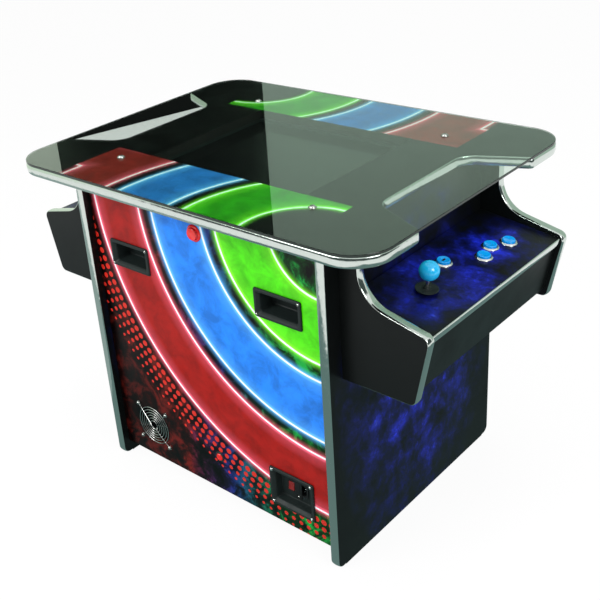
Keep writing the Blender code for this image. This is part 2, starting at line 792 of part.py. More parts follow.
def build_stick(end, panel):
    """Lever on two crossed axes: a ring on trunnions in the housing, a lever on a pin in the ring."""
    pivot = axis(f"stick_axis_{end}", at(*STICK_AT, -PIVOT_DEPTH), panel)
    here = Matrix.Identity(4)

    name = f"joystick_pivot_{end}"
    section = [
        (RING_OUT, RING_HALF),
        (RING_OUT, -RING_HALF),
        (RING_IN, -RING_HALF),
        (RING_IN, RING_HALF),
    ]
    ring = turned(name, section, 12, here, pivot, closed=True)
    reach = HOUSING / 2 - GAP
    inside = RING_OUT - ROOT
    for side in (-1, 1):
        ends = (0, side * inside, 0), (0, side * reach, 0)
        add(ring, rod(f"{name}_trunnion_{side}", TRUNNION, *ends, here, pivot, 8, cutter=True))
    far = RING_OUT + OVERCUT
    ends = (-far, 0, 0), (far, 0, 0)
    cut(ring, rod(name + "_bore", CROSS_PIN + GAP, *ends, here, pivot, 8, cutter=True))
    paint(ring, DARK_METAL, 1.0, 0.4)

    name = f"joystick_shaft_{end}"
    top = STICK_TOP + PIVOT_DEPTH
    above = PIVOT_DEPTH + WASHER_LIFT
    rim = above + WASHER_RISE * DUST_WASHER
    profile = [
        (0, top),
        (STICK_SHAFT, top),
        (STICK_SHAFT, rim + WASHER_EDGE + WASHER_DOME),
        (DUST_WASHER, rim + WASHER_EDGE),
        (DUST_WASHER, rim),
        (STICK_SHAFT, above + WASHER_RISE * STICK_SHAFT),
        (STICK_SHAFT, COLLAR_TOP + COLLAR_SLOPE),
        (COLLAR, COLLAR_TOP),
        (COLLAR, COLLAR_BOTTOM),
        (STICK_SHAFT, COLLAR_BOTTOM - COLLAR_SLOPE),
        (STICK_SHAFT, -STICK_TAIL),
        (0, -STICK_TAIL),
    ]
    shaft = turned(name, profile, 10, here, pivot)
    reach = RING_OUT - CROSS_PIN_SHORT
    ends = (-reach, 0, 0), (reach, 0, 0)
    add(shaft, rod(name + "_pin", CROSS_PIN, *ends, here, pivot, 8, cutter=True))
    paint(shaft, STEEL, 1.0, 0.2)

    name = f"joystick_ball_{end}"
    centre = BALL_HEIGHT + PIVOT_DEPTH
    shape = bmesh.new()
    middle = at(0, 0, centre)
    bmesh.ops.create_uvsphere(shape, u_segments=12, v_segments=8, radius=BALL, matrix=middle)
    ball = smooth(finished(name, shape, here, pivot))
    ends = (0, 0, centre - BALL - OVERCUT), (0, 0, top + GAP)
    cut(ball, rod(name + "_bore", STICK_SHAFT + GAP, *ends, here, pivot, 12, cutter=True))
    paint(ball, CYAN, roughness=0.15)


def build_button(name, thickness, matrix, parent, colour, bezel_colour, metallic):
    """A bezel and barrel clamped through a board by a nut, and the plunger that slides in it."""
    bore = PLUNGER + PLUNGER_FLANGE + GAP
    floor = BUTTON_FLOOR - BUTTON_DEPTH
    nut = -thickness - GAP
    neck_bottom, neck_top = BEZEL_NECK
    profile = [
        (0, floor),
        (bore, floor),
        (bore, neck_bottom),
        (PLUNGER + GAP, neck_top),
        (PLUNGER + GAP, BEZEL_HIGH),
        (BEZEL, GAP),
        (BARREL, GAP),
        (BARREL, nut),
        (NUT, nut),
        (NUT, nut - NUT_HIGH),
        (BARREL, nut - NUT_HIGH),
        (BARREL, -BUTTON_DEPTH),
        (0, -BUTTON_DEPTH),
    ]
    body = turned(name + "_body", profile, BUTTON_STEPS, matrix, parent)
    paint(body, bezel_colour, metallic, 0.15)
    wide = PLUNGER + PLUNGER_FLANGE
    profile = [
        (0, PLUNGER_HIGH - PLUNGER_DISH),
        (PLUNGER - PLUNGER_EDGE, PLUNGER_HIGH),
        (PLUNGER, PLUNGER_HIGH - PLUNGER_EDGE),
        (PLUNGER, PLUNGER_STOP),
        (wide, PLUNGER_STOP),
        (wide, PLUNGER_BOTTOM),
        (0, PLUNGER_BOTTOM),
    ]
    plunger = turned(name + "_plunger", profile, BUTTON_STEPS, matrix, parent)
    paint(plunger, colour, roughness=0.2)


def build_players():
    for end, turn in (("right", 0), ("left", math.pi)):
        frame = axis("player_" + end, Matrix.Rotation(turn, 4, "Z"))
        build_cheeks(end, frame)
        tilt = Matrix.Rotation(PANEL_TILT, 4, "Y")
        panel = axis("panel_" + end, at(END_FACE, 0, BODY_TOP - PANEL_DROP) @ tilt, frame)
        build_panel(end, panel)
        build_fascia(end, frame)
        build_stick(end, panel)
        for button, (down, across) in BUTTONS_AT.items():
            name = f"button_{end}_{button}"
            build_button(name, PANEL, at(down, across, 0), panel, CYAN, CHROME, 1.0)


# Fittings of the front side board


def sunk_cup(cup, flange, deep):
    """Sections of a bevelled rim round a thin-walled cup that sinks through the board."""
    rim = cup[0] + 2 * flange[0], cup[1] + 2 * flange[1]
    outer = rectangle(*rim, CUP_CORNER)
    edge = rectangle(rim[0] - 2 * RIM_CHAMFER, rim[1] - 2 * RIM_CHAMFER, CUP_CORNER)
    lip = rectangle(rim[0] - 2 * RIM_FLAT, rim[1] - 2 * RIM_FLAT, CUP_CORNER)
    wall = rectangle(*cup, CUP_CORNER)
    mouth = rectangle(cup[0] - 2 * CUP_WALL, cup[1] - 2 * CUP_WALL, CUP_CORNER)
    face = GAP + RIM_HIGH
    return [
        (wall, -deep - CUP_WALL),
        (wall, GAP),
        (outer, GAP),
        (outer, face - RIM_CHAMFER),
        (edge, face),
        (lip, face),
        (mouth, -CUP_THROAT),
        (mouth, -deep),
    ]


def build_grips():
    rings = sunk_cup(GRIP_CUP, GRIP_FLANGE, GRIP_DEEP)
    for end, side in (("left", -1), ("right", 1)):
        matrix = front_face((side * GRIP_AT[0], GRIP_AT[1]))
        paint(lofted("handle_" + end, rings, matrix), BLACK, roughness=0.4)


def inlet_outline():
    """Mouth of the inlet, narrowed on one side so that a plug goes in one way round."""
    half_w, half_h = INLET_MOUTH[0] / 2, INLET_MOUTH[1] / 2
    left, right = INLET_AT - half_w, INLET_AT + half_w
    corners = [
        (left, half_h),
        (left, -half_h),
        (right - INLET_NIP, -half_h),
        (right, INLET_NIP - half_h),
        (right, half_h - INLET_NIP),
        (right - INLET_NIP, half_h),
    ]
    return rounded([(x, y, INLET_CORNER) for x, y in corners])


def build_mains():
    name = "mains_plate"
    frame = front_face(MAINS_AT)
    plate = lofted(name, sunk_cup(MAINS_CUP, MAINS_FLANGE, MAINS_DEEP), frame)
    front, back = MODULE_PROUD - MAINS_DEEP, -MAINS_DEEP - MODULE_BEHIND
    size = (*MODULE, front - back)
    module = block(name + "_module", size, (0, 0, (front + back) / 2), frame, cutter=True)
    size = (*EARS, MODULE_PROUD + CUP_WALL / 2)
    ears = block(name + "_ears", size, (0, 0, front - size[2] / 2), frame, cutter=True)
    add(plate, module, ears)

    floor = front - INLET_DEEP
    tall = INLET_DEEP + OVERCUT
    above_floor = frame @ at(0, 0, floor)
    socket = board(name + "_socket", inlet_outline(), tall, above_floor, cutter=True)
    half_w, half_h = ROCKER_HALF
    size = (2 * (half_w + GAP), 2 * (half_h + 2 * GAP), ROCKER_WELL + OVERCUT)
    middle = (ROCKER_AT, 0, front - ROCKER_WELL + size[2] / 2)
    well = block(name + "_well", size, middle, frame, cutter=True)
    line_height = front - ROCKER_LINE
    far = half_w + ROCKER_PIN_LONG + 2 * GAP
    ends = (ROCKER_AT - far, 0, line_height), (ROCKER_AT + far, 0, line_height)
    sockets = rod(name + "_sockets", ROCKER_PIN + GAP, *ends, frame, cutter=True)
    cut(plate, socket, well, sockets)
    tall = INLET_DEEP - PIN_SHORT + ROOT
    for index, (across, up) in enumerate(PINS_AT):
        size = (*(PIN if up else reversed(PIN)), tall)
        middle = (INLET_AT + across, up, floor - ROOT + tall / 2)
        add(plate, block(f"{name}_pin_{index}", size, middle, frame, cutter=True))
    paint(plate, BLACK, roughness=0.35)

    # The outline of the rocker runs (up, out) and is carried across, along its hinge
    side = half_h - ROCKER_EDGE
    outline = [
        Vector((-side, ROCKER_HIGH)),
        Vector((-half_h, 0)),
        Vector((-side, -ROCKER_UNDER)),
        Vector((side, -ROCKER_UNDER)),
        Vector((half_h, 0)),
        Vector((side, ROCKER_HIGH)),
        Vector((0, ROCKER_DIP)),
    ]
    hinge = axis("rocker_axis", frame @ at(ROCKER_AT, 0, line_height))
    lean = Matrix.Rotation(-ROCKER_TURN, 4, "X")
    matrix = lean @ at(-half_w, 0, 0) @ ENDWISE
    rocker = board("mains_rocker", outline, 2 * half_w, matrix, hinge)
    reach = half_w + ROCKER_PIN_LONG
    ends = (-reach, 0, 0), (reach, 0, 0)
    pins = rod("mains_rocker_pins", ROCKER_PIN, *ends, lean, hinge, 12, cutter=True)
    paint(add(rocker, pins), RED, roughness=0.25)


def build_side_buttons():
    build_button("service_button", BOARD, front_face(SERVICE_AT), None, RED, RED, 0.0)
    flange = -BOARD - GAP
    profile = [
        (0, RESET_CROWN),
        (RESET_CAP - RESET_EDGE, RESET_CROWN - GAP),
        (RESET_CAP, RESET_SHOULDER),
        (RESET_CAP, flange),
        (RESET_CAP + RESET_LIP, flange),
        (RESET_CAP + RESET_LIP, flange - RESET_FLANGE),
        (0, flange - RESET_FLANGE),
    ]
    cap = turned("reset_button_plunger", profile, BUTTON_STEPS, front_face(RESET_AT))
    paint(cap, RED, roughness=0.25)


def build_fan():
    frame = at(FAN_AT[0], -SIDE_BACK, FAN_AT[1]) @ UPRIGHT
    corners = [(FAN_LUG, FAN_LUG), (-FAN_LUG, FAN_LUG), (-FAN_LUG, -FAN_LUG), (FAN_LUG, -FAN_LUG)]
    holes = [circle(FAN_DUCT, steps=DUCT_STEPS)] + [circle(LUG_EYE, corner, 6) for corner in corners]
    back = -GAP - FAN_DEEP
    shell = rectangle(FAN, FAN, FAN_CORNER)
    case = board("fan_frame", shell, FAN_DEEP, frame @ at(0, 0, back), holes=holes)
    plate_top = back + FAN_PLATE
    axle_top = -AXLE_SUNK
    spider_profile = [
        (0, axle_top),
        (AXLE, axle_top),
        (AXLE, plate_top),
        (FAN_HUB, plate_top),
        (FAN_HUB, back),
        (0, back),
    ]
    spider = turned("fan_frame_spider", spider_profile, 12, frame, cutter=True)
    add(case, spider)
    for index in range(3):
        turn = Matrix.Rotation(2 * math.pi * index / 3 + STRUT_TURN, 4, "Z")
        long = FAN_DUCT - FAN_HUB + 2 * ROOT
        size = (long, STRUT, FAN_PLATE - 2 * GAP)
        middle = (FAN_HUB - ROOT + long / 2, 0, back + FAN_PLATE / 2)
        name = f"fan_frame_strut_{index}"
        add(case, block(name, size, middle, frame @ turn, cutter=True))
    paint(case, BLACK, roughness=0.5)

    hinge = axis("fan_axis", frame)
    bore_top = axle_top + GAP
    hub_bottom = plate_top + GAP
    hub_top = -HUB_SUNK
    profile = [
        (0, hub_top),
        (FAN_HUB - HUB_EDGE, hub_top),
        (FAN_HUB, hub_top - HUB_EDGE),
        (FAN_HUB, hub_bottom),
        (AXLE + GAP, hub_bottom),
        (AXLE + GAP, bore_top),
        (0, bore_top),
    ]
    here = Matrix.Identity(4)
    rotor = turned("fan_rotor", profile, 14, here, hinge)
    add(rotor, fan_blades(hinge, hub_bottom + BLADE_ROOM, hub_top - BLADE_ROOM))
    paint(rotor, BLACK, roughness=0.5)


def fan_blades(parent, low, high):
    """All the blades in one mesh, each a flat plate that is pitched less towards its tip."""
    shape = bmesh.new()
    middle, half = (low + high) / 2, (high - low) / 2
    # Radius, share of the full height, and how far the blade is swept back there
    rows = ((FAN_HUB - ROOT, 1.0, 0.0), (BLADE_WAIST, 0.95, 0.10), (FAN_TIP, 0.85, 0.18))
    corners = ((-1, -1), (-1, 1), (1, 1), (1, -1))
    for blade in range(FAN_BLADES):
        start = 2 * math.pi * blade / FAN_BLADES
        sections = []
        for radius, tall, lag in rows:
            section = []
            for side, face in corners:
                turn = start - lag + (side * BLADE_CHORD + face * BLADE) / radius
                height = middle + side * half * tall
                section.append((radius * math.cos(turn), radius * math.sin(turn), height))
            sections.append(section)
        skinned(shape, sections)
    here = Matrix.Identity(4)
    return finished("fan_rotor_blades", shape, here, parent, cutter=True)


def build_guard():
    """Wire rings welded behind one bent stay that runs from corner to corner."""
    frame = front_face(FAN_AT)
    low = GAP + WIRE
    high = low + GUARD_REST * WIRE
    stay_points = [(-FAN_LUG, FAN_LUG), *GUARD_JOG, (FAN_LUG, -FAN_LUG)]
    path = [Vector(point) for point in stay_points]
    here = frame @ at(0, 0, high)
    guard = wire("fan_guard", WIRE, path, here)
    for index in range(GUARD_COUNT):
        radius = FAN_DUCT - index * GUARD_PITCH
        path = circle(radius, steps=16 if radius > FAN_HUB else 12)
        name = f"fan_guard_ring_{index}"
        add(guard, wire(name, WIRE, path, frame @ at(0, 0, low), closed=True, cutter=True))
    for side in (-1, 1):
        corner = Vector((side * FAN_LUG, side * FAN_LUG, low))
        inner = corner.normalized() * (FAN_DUCT - WIRE / 2)
        start = (side * abs(inner.x), side * abs(inner.y), low)
        name = f"fan_guard_tie_{side}"
        add(guard, rod(name, GUARD_TIE, start, corner, frame, steps=6, cutter=True))
    for index, (x, y) in enumerate(((1, 1), (-1, 1), (-1, -1), (1, -1))):
        spot = frame @ at(x * FAN_LUG, y * FAN_LUG, 0)
        top = high + LUG_HIGH
        name = f"fan_guard_lug_{index}"
        add(guard, rod(name, LUG, (0, 0, GAP), (0, 0, top), spot, steps=6, cutter=True))
        ends = (0, 0, -OVERCUT), (0, 0, top + OVERCUT)
        cut(guard, rod(name + "_eye", LUG_EYE, *ends, spot, steps=6, cutter=True))
    paint(guard, STEEL, 1.0, 0.2)


# Screen and the works inside


def build_monitor():
    face = rectangle(*MONITOR_FACE, MONITOR_CORNER)
    frame = rectangle(*MONITOR, MONITOR_CORNER)
    back = rectangle(*MONITOR_BACK, MONITOR_CORNER)
    rings = [
        (back, BODY_TOP - MONITOR_DEEP),
        (back, BODY_TOP - MONITOR_FRAME - MONITOR_SLOPE),
        (frame, BODY_TOP - MONITOR_FRAME),
        (frame, BODY_TOP),
        (face, BODY_TOP),
        (face, BODY_TOP - MONITOR_SUNK),
    ]
    paint(lofted("monitor", rings, at(0, 0, 0)), SCREEN_BLACK, roughness=0.15)


def build_speaker(stand):
    magnet, low, high = SPEAKER_MAGNET
    rim = SPEAKER_HOLE + SPEAKER_FLANGE
    profile = [
        (0, high),
        (magnet, high),
        (magnet, low),
        SPEAKER_NECK,
        (SPEAKER_HOLE, SPEAKER_PLATE + GAP),
        (rim, SPEAKER_PLATE),
        (rim, 0),
        (SPEAKER_HOLE - ROOT, 0),
        SPEAKER_CONE,
        (0, SPEAKER_CAP),
    ]
    paint(turned("speaker", profile, 16, at(*SPEAKER_AT, stand)), DARK_METAL, 0.6, 0.5)


def build_game_board(stand):
    spot = at(*BOARD_AT, stand)
    wide, deep = BOARD_SIZE
    middle = BOARD_LEG + BOARD_SHEET / 2
    circuit = block("game_board", (wide, deep, BOARD_SHEET), (0, 0, middle), spot)
    for name, (left, far, size_x, size_y, tall) in BOARD_PARTS.items():
        size = (size_x, size_y, tall + BOARD_SHEET / 2)
        centre = (left, far, middle + size[2] / 2)
        add(circuit, block(f"game_board_{name}", size, centre, spot, cutter=True))
    for index, (side, end) in enumerate(((1, 1), (-1, 1), (-1, -1), (1, -1))):
        foot = (side * (wide / 2 - BOARD_LEG_IN), end * (deep / 2 - BOARD_LEG_IN))
        ends = (*foot, 0), (*foot, middle)
        leg = rod(f"game_board_leg_{index}", BOARD_LEG_RADIUS, *ends, spot, steps=6, cutter=True)
        add(circuit, leg)
    paint(circuit, CIRCUIT, roughness=0.4)


def build_supply(stand):
    wide, deep, tall = SUPPLY_SIZE
    spot = at(END_BACK - SUPPLY_IN - wide / 2, SUPPLY_ACROSS, stand)
    supply = block("power_supply", SUPPLY_SIZE, (0, 0, tall / 2), spot)
    well_wide, well_deep, well_tall = SUPPLY_WELL
    size = (well_wide, well_deep + OVERCUT, well_tall)
    middle = (0, (well_deep - OVERCUT - deep) / 2, tall / 2)
    well = block("power_supply_well", size, middle, spot, cutter=True)
    paint(cut(supply, well), STEEL, 1.0, 0.35)


def build_works():
    build_monitor()
    stand = BASE_TOP + GAP
    build_speaker(stand)
    build_game_board(stand)
    build_supply(stand)


build_top()
build_ends()
build_sides()
build_players()
build_grips()
build_mains()
build_side_buttons()
build_fan()
build_guard()
build_works()
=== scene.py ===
import math

import bmesh
import bpy
from mathutils import Matrix, Vector


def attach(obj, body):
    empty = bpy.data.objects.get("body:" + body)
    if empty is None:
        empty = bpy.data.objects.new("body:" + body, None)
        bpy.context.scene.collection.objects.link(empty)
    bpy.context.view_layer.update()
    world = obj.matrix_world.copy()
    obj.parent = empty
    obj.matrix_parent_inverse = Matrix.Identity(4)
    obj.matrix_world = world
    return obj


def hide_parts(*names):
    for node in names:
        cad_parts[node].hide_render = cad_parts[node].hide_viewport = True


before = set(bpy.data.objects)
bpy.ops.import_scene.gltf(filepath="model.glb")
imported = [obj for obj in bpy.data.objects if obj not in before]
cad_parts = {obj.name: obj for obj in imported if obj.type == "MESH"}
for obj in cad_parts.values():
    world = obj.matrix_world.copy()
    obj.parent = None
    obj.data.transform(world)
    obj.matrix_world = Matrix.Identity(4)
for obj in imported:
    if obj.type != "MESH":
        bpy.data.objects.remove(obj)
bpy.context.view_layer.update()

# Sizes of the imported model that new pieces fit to, in metres
GAP = 0.0003
BOARD = 0.018
HEAD = 0.0025
TABLE_LENGTH, TABLE_WIDTH, TABLE_HEIGHT = 0.850, 0.634, 0.683
TABLE_CORNER = 0.070
GLASS = 0.005
GLASS_INSET = 0.001
NOTCH_BACK, NOTCH_BACK_HALF, NOTCH_MOUTH_HALF = 0.314, 0.127, 0.177
NOTCH_BACK_RADIUS, NOTCH_MOUTH_RADIUS = 0.038, 0.011
SCREEN_OPENING = (0.377, 0.317)
GLASS_BOLTS = (0.2337, 0.1983)
GLASS_BOLT_HOLE = 0.0043
BODY_LENGTH, BODY_WIDTH = 0.608, 0.531
FOOT_RADIUS, FOOT_RETURN = 0.016, 0.0225
CHEEK_FACE = 0.2295
CHEEK_BOTTOM, CHEEK_NECK = 0.3964, 0.3435
CHEEK_REST = (0.430, 0.540, 0.235)
CHEEK_NOSE = (0.4653, 0.478, 0.215)
CHEEK_FILLET, CHEEK_TOP_RADIUS, CHEEK_TOE_RADIUS = 0.062, 0.016, 0.014
PANEL = 0.014
PANEL_TILT = math.radians(8.14)
PANEL_BACK_HEIGHT, PANEL_REACH = 0.5466, 0.1667
STICK_AT = (0.0862, -0.1058)
STICK_HOLE, STICK_SHAFT, STICK_TOP = 0.012, 0.0035, 0.044
PIVOT_DEPTH = 0.027
BALL, BALL_HEIGHT = 0.0175, 0.0395
DUST_WASHER, WASHER_LIFT = 0.020, 0.0009
HOUSING, HOUSING_WALL, HOUSING_DEPTH = 0.064, 0.004, 0.044
BUTTONS_AT = {
    "start": (0.0584, -0.0108),
    "near": (0.0989, 0.0550),
    "middle": (0.0890, 0.0944),
    "far": (0.1046, 0.1321),
}
BEZEL, BEZEL_HIGH = 0.0165, 0.004
PLUNGER, PLUNGER_HIGH = 0.012, 0.008
BARREL, NUT, NUT_HIGH, BUTTON_DEPTH = 0.014, 0.0195, 0.0065, 0.0305
RESET_CAP = 0.008
SERVICE_AT, RESET_AT = (0.0, 0.600), (0.0, 0.111)
FAN_AT, FAN_LUG = (-0.191, 0.1083), 0.04125
WIRE = 0.0009
GUARD_RINGS = (0.0105, 0.017, 0.0235, 0.030, 0.0365, 0.043)
GUARD_JOG = ((-0.0056, -0.0045), (0.0045, -0.0065))
GRIP_AT, GRIP_RIM, GRIP_CUP, GRIP_DEEP = (0.1867, 0.5046), (0.1055, 0.0563), (0.088, 0.040), 0.034
MAINS_AT, MAINS_RIM, MAINS_CUP, MAINS_DEEP = (0.188, 0.111), (0.106, 0.0854), (0.088, 0.066), 0.018
CUP_WALL, CUP_CORNER, CUP_EASE, CUP_PROUD = 0.0022, 0.004, 0.0024, 0.0038
MAINS_MODULE, MAINS_EARS, MODULE_PROUD = (0.048, 0.028), 0.050, 0.002
INLET_AT, INLET_MOUTH, INLET_DEEP = 0.0115, (0.0166, 0.0246), 0.016
ROCKER_AT, ROCKER_HALF, ROCKER_TURN = -0.0155, (0.0065, 0.0092), math.radians(6)
MONITOR_FACE, MONITOR_SUNK = (0.377, 0.302), 0.006

# Screws: the radius and height of the head, and half the width of its recess
GLASS_BOLT = (0.0058, 0.0028, 0.0021)
GRIP_SCREW = (0.0027, 0.0014, 0.0013)
MAINS_SCREW = (0.0032, 0.0016, 0.0014)
INLET_SCREW = (0.0027, 0.0013, 0.0012)
GUARD_SCREW = (0.0036, 0.0019, 0.0017)

TOP_BOTTOM = TABLE_HEIGHT - GLASS - GAP - BOARD
BODY_TOP = TOP_BOTTOM - GAP
SIDE_FACE = BODY_WIDTH / 2 - 0.0177
END_FACE = BODY_LENGTH / 2
CHEEK_INNER = CHEEK_FACE - BOARD

TURN = math.radians(7.5)
UPRIGHT = Matrix.Rotation(math.pi / 2, 4, "X")
ENDWISE = Matrix.Rotation(math.pi / 2, 4, "Z") @ UPRIGHT
ENDS = {"right": Matrix.Identity(4), "left": Matrix.Rotation(math.pi, 4, "Z")}
TILT = Matrix.Translation((END_FACE, 0, PANEL_BACK_HEIGHT)) @ Matrix.Rotation(PANEL_TILT, 4, "Y")


def at(x, y, z=0.0):
    return Matrix.Translation((x, y, z))


def front_face(point):
    """The frame of a fitting on the front side board, looking out."""
    return at(point[0], -SIDE_FACE, point[1]) @ UPRIGHT


# Finishes


def linear(code):
    """The linear colour of an sRGB hex value."""
    values = [int(code[start:start + 2], 16) / 255 for start in (0, 2, 4)]
    return (*(v / 12.92 if v <= 0.04045 else ((v + 0.055) / 1.055) ** 2.4 for v in values), 1)


def per(millimetres):
    """How many repeats a metre holds of a pattern of this size."""
    return 1000 / millimetres


def finish(name, colour, roughness, metallic=0.0, **sockets):
    """A material and its Principled shader, with what is the same all over the surface."""
    material = bpy.data.materials.new(name)
    material.use_nodes = True
    shader = material.node_tree.nodes["Principled BSDF"]
    shader.inputs["Base Color"].default_value = linear(colour)
    shader.inputs["Roughness"].default_value = roughness
    shader.inputs["Metallic"].default_value = metallic
    for socket, value in sockets.items():
        shader.inputs[socket.replace("_", " ")].default_value = value
    return material, shader


def link(owner, source, socket):
    """Feeds a socket from an output, or from a node's first output."""
    if isinstance(source, bpy.types.Node):
        source = source.outputs[0]
    owner.node_tree.links.new(source, socket)


def node(owner, kind, inputs=None, stops=(), stepped=False, **settings):
    """Adds a node with its settings. An input takes a value, an output or a node, and a ramp
    takes (position, hex colour) stops."""
    made = owner.node_tree.nodes.new("ShaderNode" + kind)
    for name, value in settings.items():
        setattr(made, name, value)
    for name, value in (inputs or {}).items():
        if isinstance(value, (bpy.types.Node, bpy.types.NodeSocket)):
            link(owner, value, made.inputs[name])
        else:
            made.inputs[name].default_value = value
    if stops:
        bar = made.color_ramp
        bar.interpolation = "CONSTANT" if stepped else "LINEAR"
        while len(bar.elements) < len(stops):
            bar.elements.new(1.0)
        for element, (position, colour) in zip(bar.elements, stops):
            element.position = position
            element.color = linear(colour)
    return made


def grained(material, shader, grain, height, rough, smudge=70.0):
    """Gives a surface its fine relief and an uneven gloss, both by sizes in millimetres."""
    place = node(material, "TexCoord").outputs["Object"]
    fine = node(material, "TexNoise", {"Vector": place, "Scale": per(grain), "Detail": 3.0})
    bump = node(material, "Bump", {"Height": fine, "Distance": height / 1000, "Strength": 1.0})
    link(material, bump, shader.inputs["Normal"])
    broad = node(material, "TexNoise", {"Vector": place, "Scale": per(smudge), "Detail": 4.0})
    gloss = node(material, "MapRange", {"Value": broad, "From Min": 0.3, "From Max": 0.7,
                                        "To Min": rough[0], "To Max": rough[1]})
    link(material, gloss, shader.inputs["Roughness"])
    return place


def surface(name, colour, grain, height, rough, metallic=0.0, smudge=70.0, **sockets):
    """A finish of one colour, with its grain and its gloss."""
    material, shader = finish(name, colour, sum(rough) / 2, metallic, **sockets)
    grained(material, shader, grain, height, rough, smudge)
    return material


# Melamine-faced board, pressed: near black with a faint orange peel and uneven sheen
laminate = surface("black_melamine_pressed", "0a0e0e", 1.6, 0.02, (0.34, 0.48),
                   Specular_IOR_Level=0.25)

# Raw fibreboard, stained black: matt, with pale fibres showing through
fibre, shader = finish("fibreboard_stained_black", "141312", 0.8)
place = grained(fibre, shader, 2.0, 0.12, (0.72, 0.88))
flecks = node(fibre, "TexNoise", {"Vector": place, "Scale": per(2.5), "Detail": 5.0})
tone = node(fibre, "ValToRGB", {"Fac": flecks},
            [(0.45, "0f0e0e"), (0.62, "1b1917"), (0.75, "3a342c")])
link(fibre, tone, shader.inputs["Base Color"])

# Metallised PVC moulding, extruded: mirror bright, with the slight waves of a soft strip
chrome, shader = finish("metallised_moulding_extruded", "d3dcd6", 0.1, 1.0)
place = node(chrome, "TexCoord").outputs["Object"]
waves = node(chrome, "TexNoise", {"Vector": place, "Scale": per(30), "Detail": 2.0})
bump = node(chrome, "Bump", {"Height": waves, "Distance": 0.0006, "Strength": 1.0})
link(chrome, bump, shader.inputs["Normal"])
scuffs = node(chrome, "TexNoise", {"Vector": place, "Scale": per(9), "Detail": 6.0})
gloss = node(chrome, "MapRange", {"Value": scuffs, "From Min": 0.35, "From Max": 0.75,
                                  "To Min": 0.07, "To Max": 0.20})
link(chrome, gloss, shader.inputs["Roughness"])

# Chromed ABS and nickelled or polished steel: bezels, bolts, wires
plated = surface("abs_chrome_plated", "dfe3e0", 12, 0.01, (0.06, 0.14), 1.0, smudge=15)
steel = surface("steel_nickel_plated", "c6c8c4", 3, 0.006, (0.12, 0.26), 1.0, smudge=8)
zinc = surface("steel_zinc_plated_pressed", "8d9294", 9, 0.02, (0.28, 0.46), 1.0, smudge=20)

# ABS, moulded against a spark-eroded tool: a fine even grain, drawn coarse enough to show
moulded = surface("abs_moulded_black", "1c2524", 0.9, 0.03, (0.44, 0.58), smudge=25,
                  Specular_IOR_Level=0.3)
nylon = surface("nylon_glass_filled_black", "0f1213", 1.5, 0.03, (0.42, 0.6), smudge=18)

# Gloss ABS, phenolic and nylon, self coloured: buttons, ball and rocker
cyan = surface("abs_gloss_cyan", "0a9cf2", 5, 0.006, (0.12, 0.22), smudge=10, Coat_Weight=0.5,
               Coat_Roughness=0.05)
ball_blue = surface("phenolic_ball_polished", "1fb2ea", 7, 0.006, (0.09, 0.18), smudge=14,
                    Coat_Weight=0.6, Coat_Roughness=0.04)
red = surface("abs_gloss_red", "dc1410", 5, 0.006, (0.14, 0.24), smudge=10, Coat_Weight=0.5,
              Coat_Roughness=0.05)
dark_red = surface("nylon_moulded_red", "7e100e", 2, 0.01, (0.34, 0.46), smudge=8)

# Float glass, toughened, with ground edges: clear face, and a rim dark green in its depth
glass, shader = finish("float_glass_toughened", "e6f2ea", 0.0, IOR=1.52, Transmission_Weight=1.0)
rim, rim_shader = finish("float_glass_ground_edge", "10241c", 0.2, IOR=1.52,
                         Transmission_Weight=0.25)
for owner, solid, tint in ((glass, shader, "dfeee5"), (rim, rim_shader, "8fb8a6")):
    clear = node(owner, "BsdfTransparent", {"Color": linear(tint)})
    shadow = node(owner, "LightPath").outputs["Is Shadow Ray"]
    mixed = node(owner, "MixShader", {0: shadow, 1: solid, 2: clear})
    link(owner, mixed, owner.node_tree.nodes["Material Output"].inputs["Surface"])

# Screen, switched off: black behind a matt polariser
panel_glass = surface("polariser_film_matt", "050607", 0.8, 0.004, (0.18, 0.27), smudge=90,
                      Coat_Weight=0.3)

# Circuit board: green solder mask over copper tracks
mask_green, shader = finish("solder_mask_green", "0f5a34", 0.35)
place = grained(mask_green, shader, 3, 0.03, (0.3, 0.42))
tracks = node(mask_green, "TexVoronoi", {"Vector": place, "Scale": per(4)}, distance="MANHATTAN")
tone = node(mask_green, "ValToRGB", {"Fac": tracks},
            [(0.0, "1b7a4a"), (0.45, "0f5a34"), (0.55, "0b4227")])
link(mask_green, tone, shader.inputs["Base Color"])

# Speaker: zinc-plated basket with a matt paper cone
paper = surface("paper_cone_pressed", "1a1a1b", 1.2, 0.08, (0.6, 0.8))


# Printed film, laminated on the boards: broad bands swept round a corner, over dark clouds
BAND_START, BAND_PITCH = 0.094, 0.160  # of the middle of the gap inside the first band
BAND_COUNT = 3
SIDE_INKS = ["4fe000", "1f84f4", "a01008"]
# The top's inks are the side's inks of the same film, painted darker: painted shade on the top
# print
SHADED_TOP_INKS = ["2c9a12", "2673c4", "84201a"]
GLOWS = ["8cff30", "6ac4ff", "ff6c86"]
DOT_PITCH, DOT_ROWS, DOT_COLOUR = 0.017, 4, "c8281c"
FILM = "0a0d0d"


def to_both_edges(stops):
    """The stops of a ramp across a band, given from one edge to the middle."""
    return stops + [(1 - position, colour) for position, colour in reversed(stops)]


# By shares of a pitch: where the ink stands, the light that its edge sheds, and its white line
INKED = to_both_edges([(0.0, "000000"), (0.04, "161616"), (0.09, "8a8a8a"), (0.10, "ffffff")])
HALO = to_both_edges([(0.02, "000000"), (0.07, "7c7c7c"), (0.10, "f8f8f8"), (0.13, "f8f8f8"),
                      (0.17, "808080"), (0.30, "000000")])
LINES = to_both_edges([(0.096, "000000"), (0.100, "ffffff"), (0.120, "ffffff"), (0.126, "000000")])


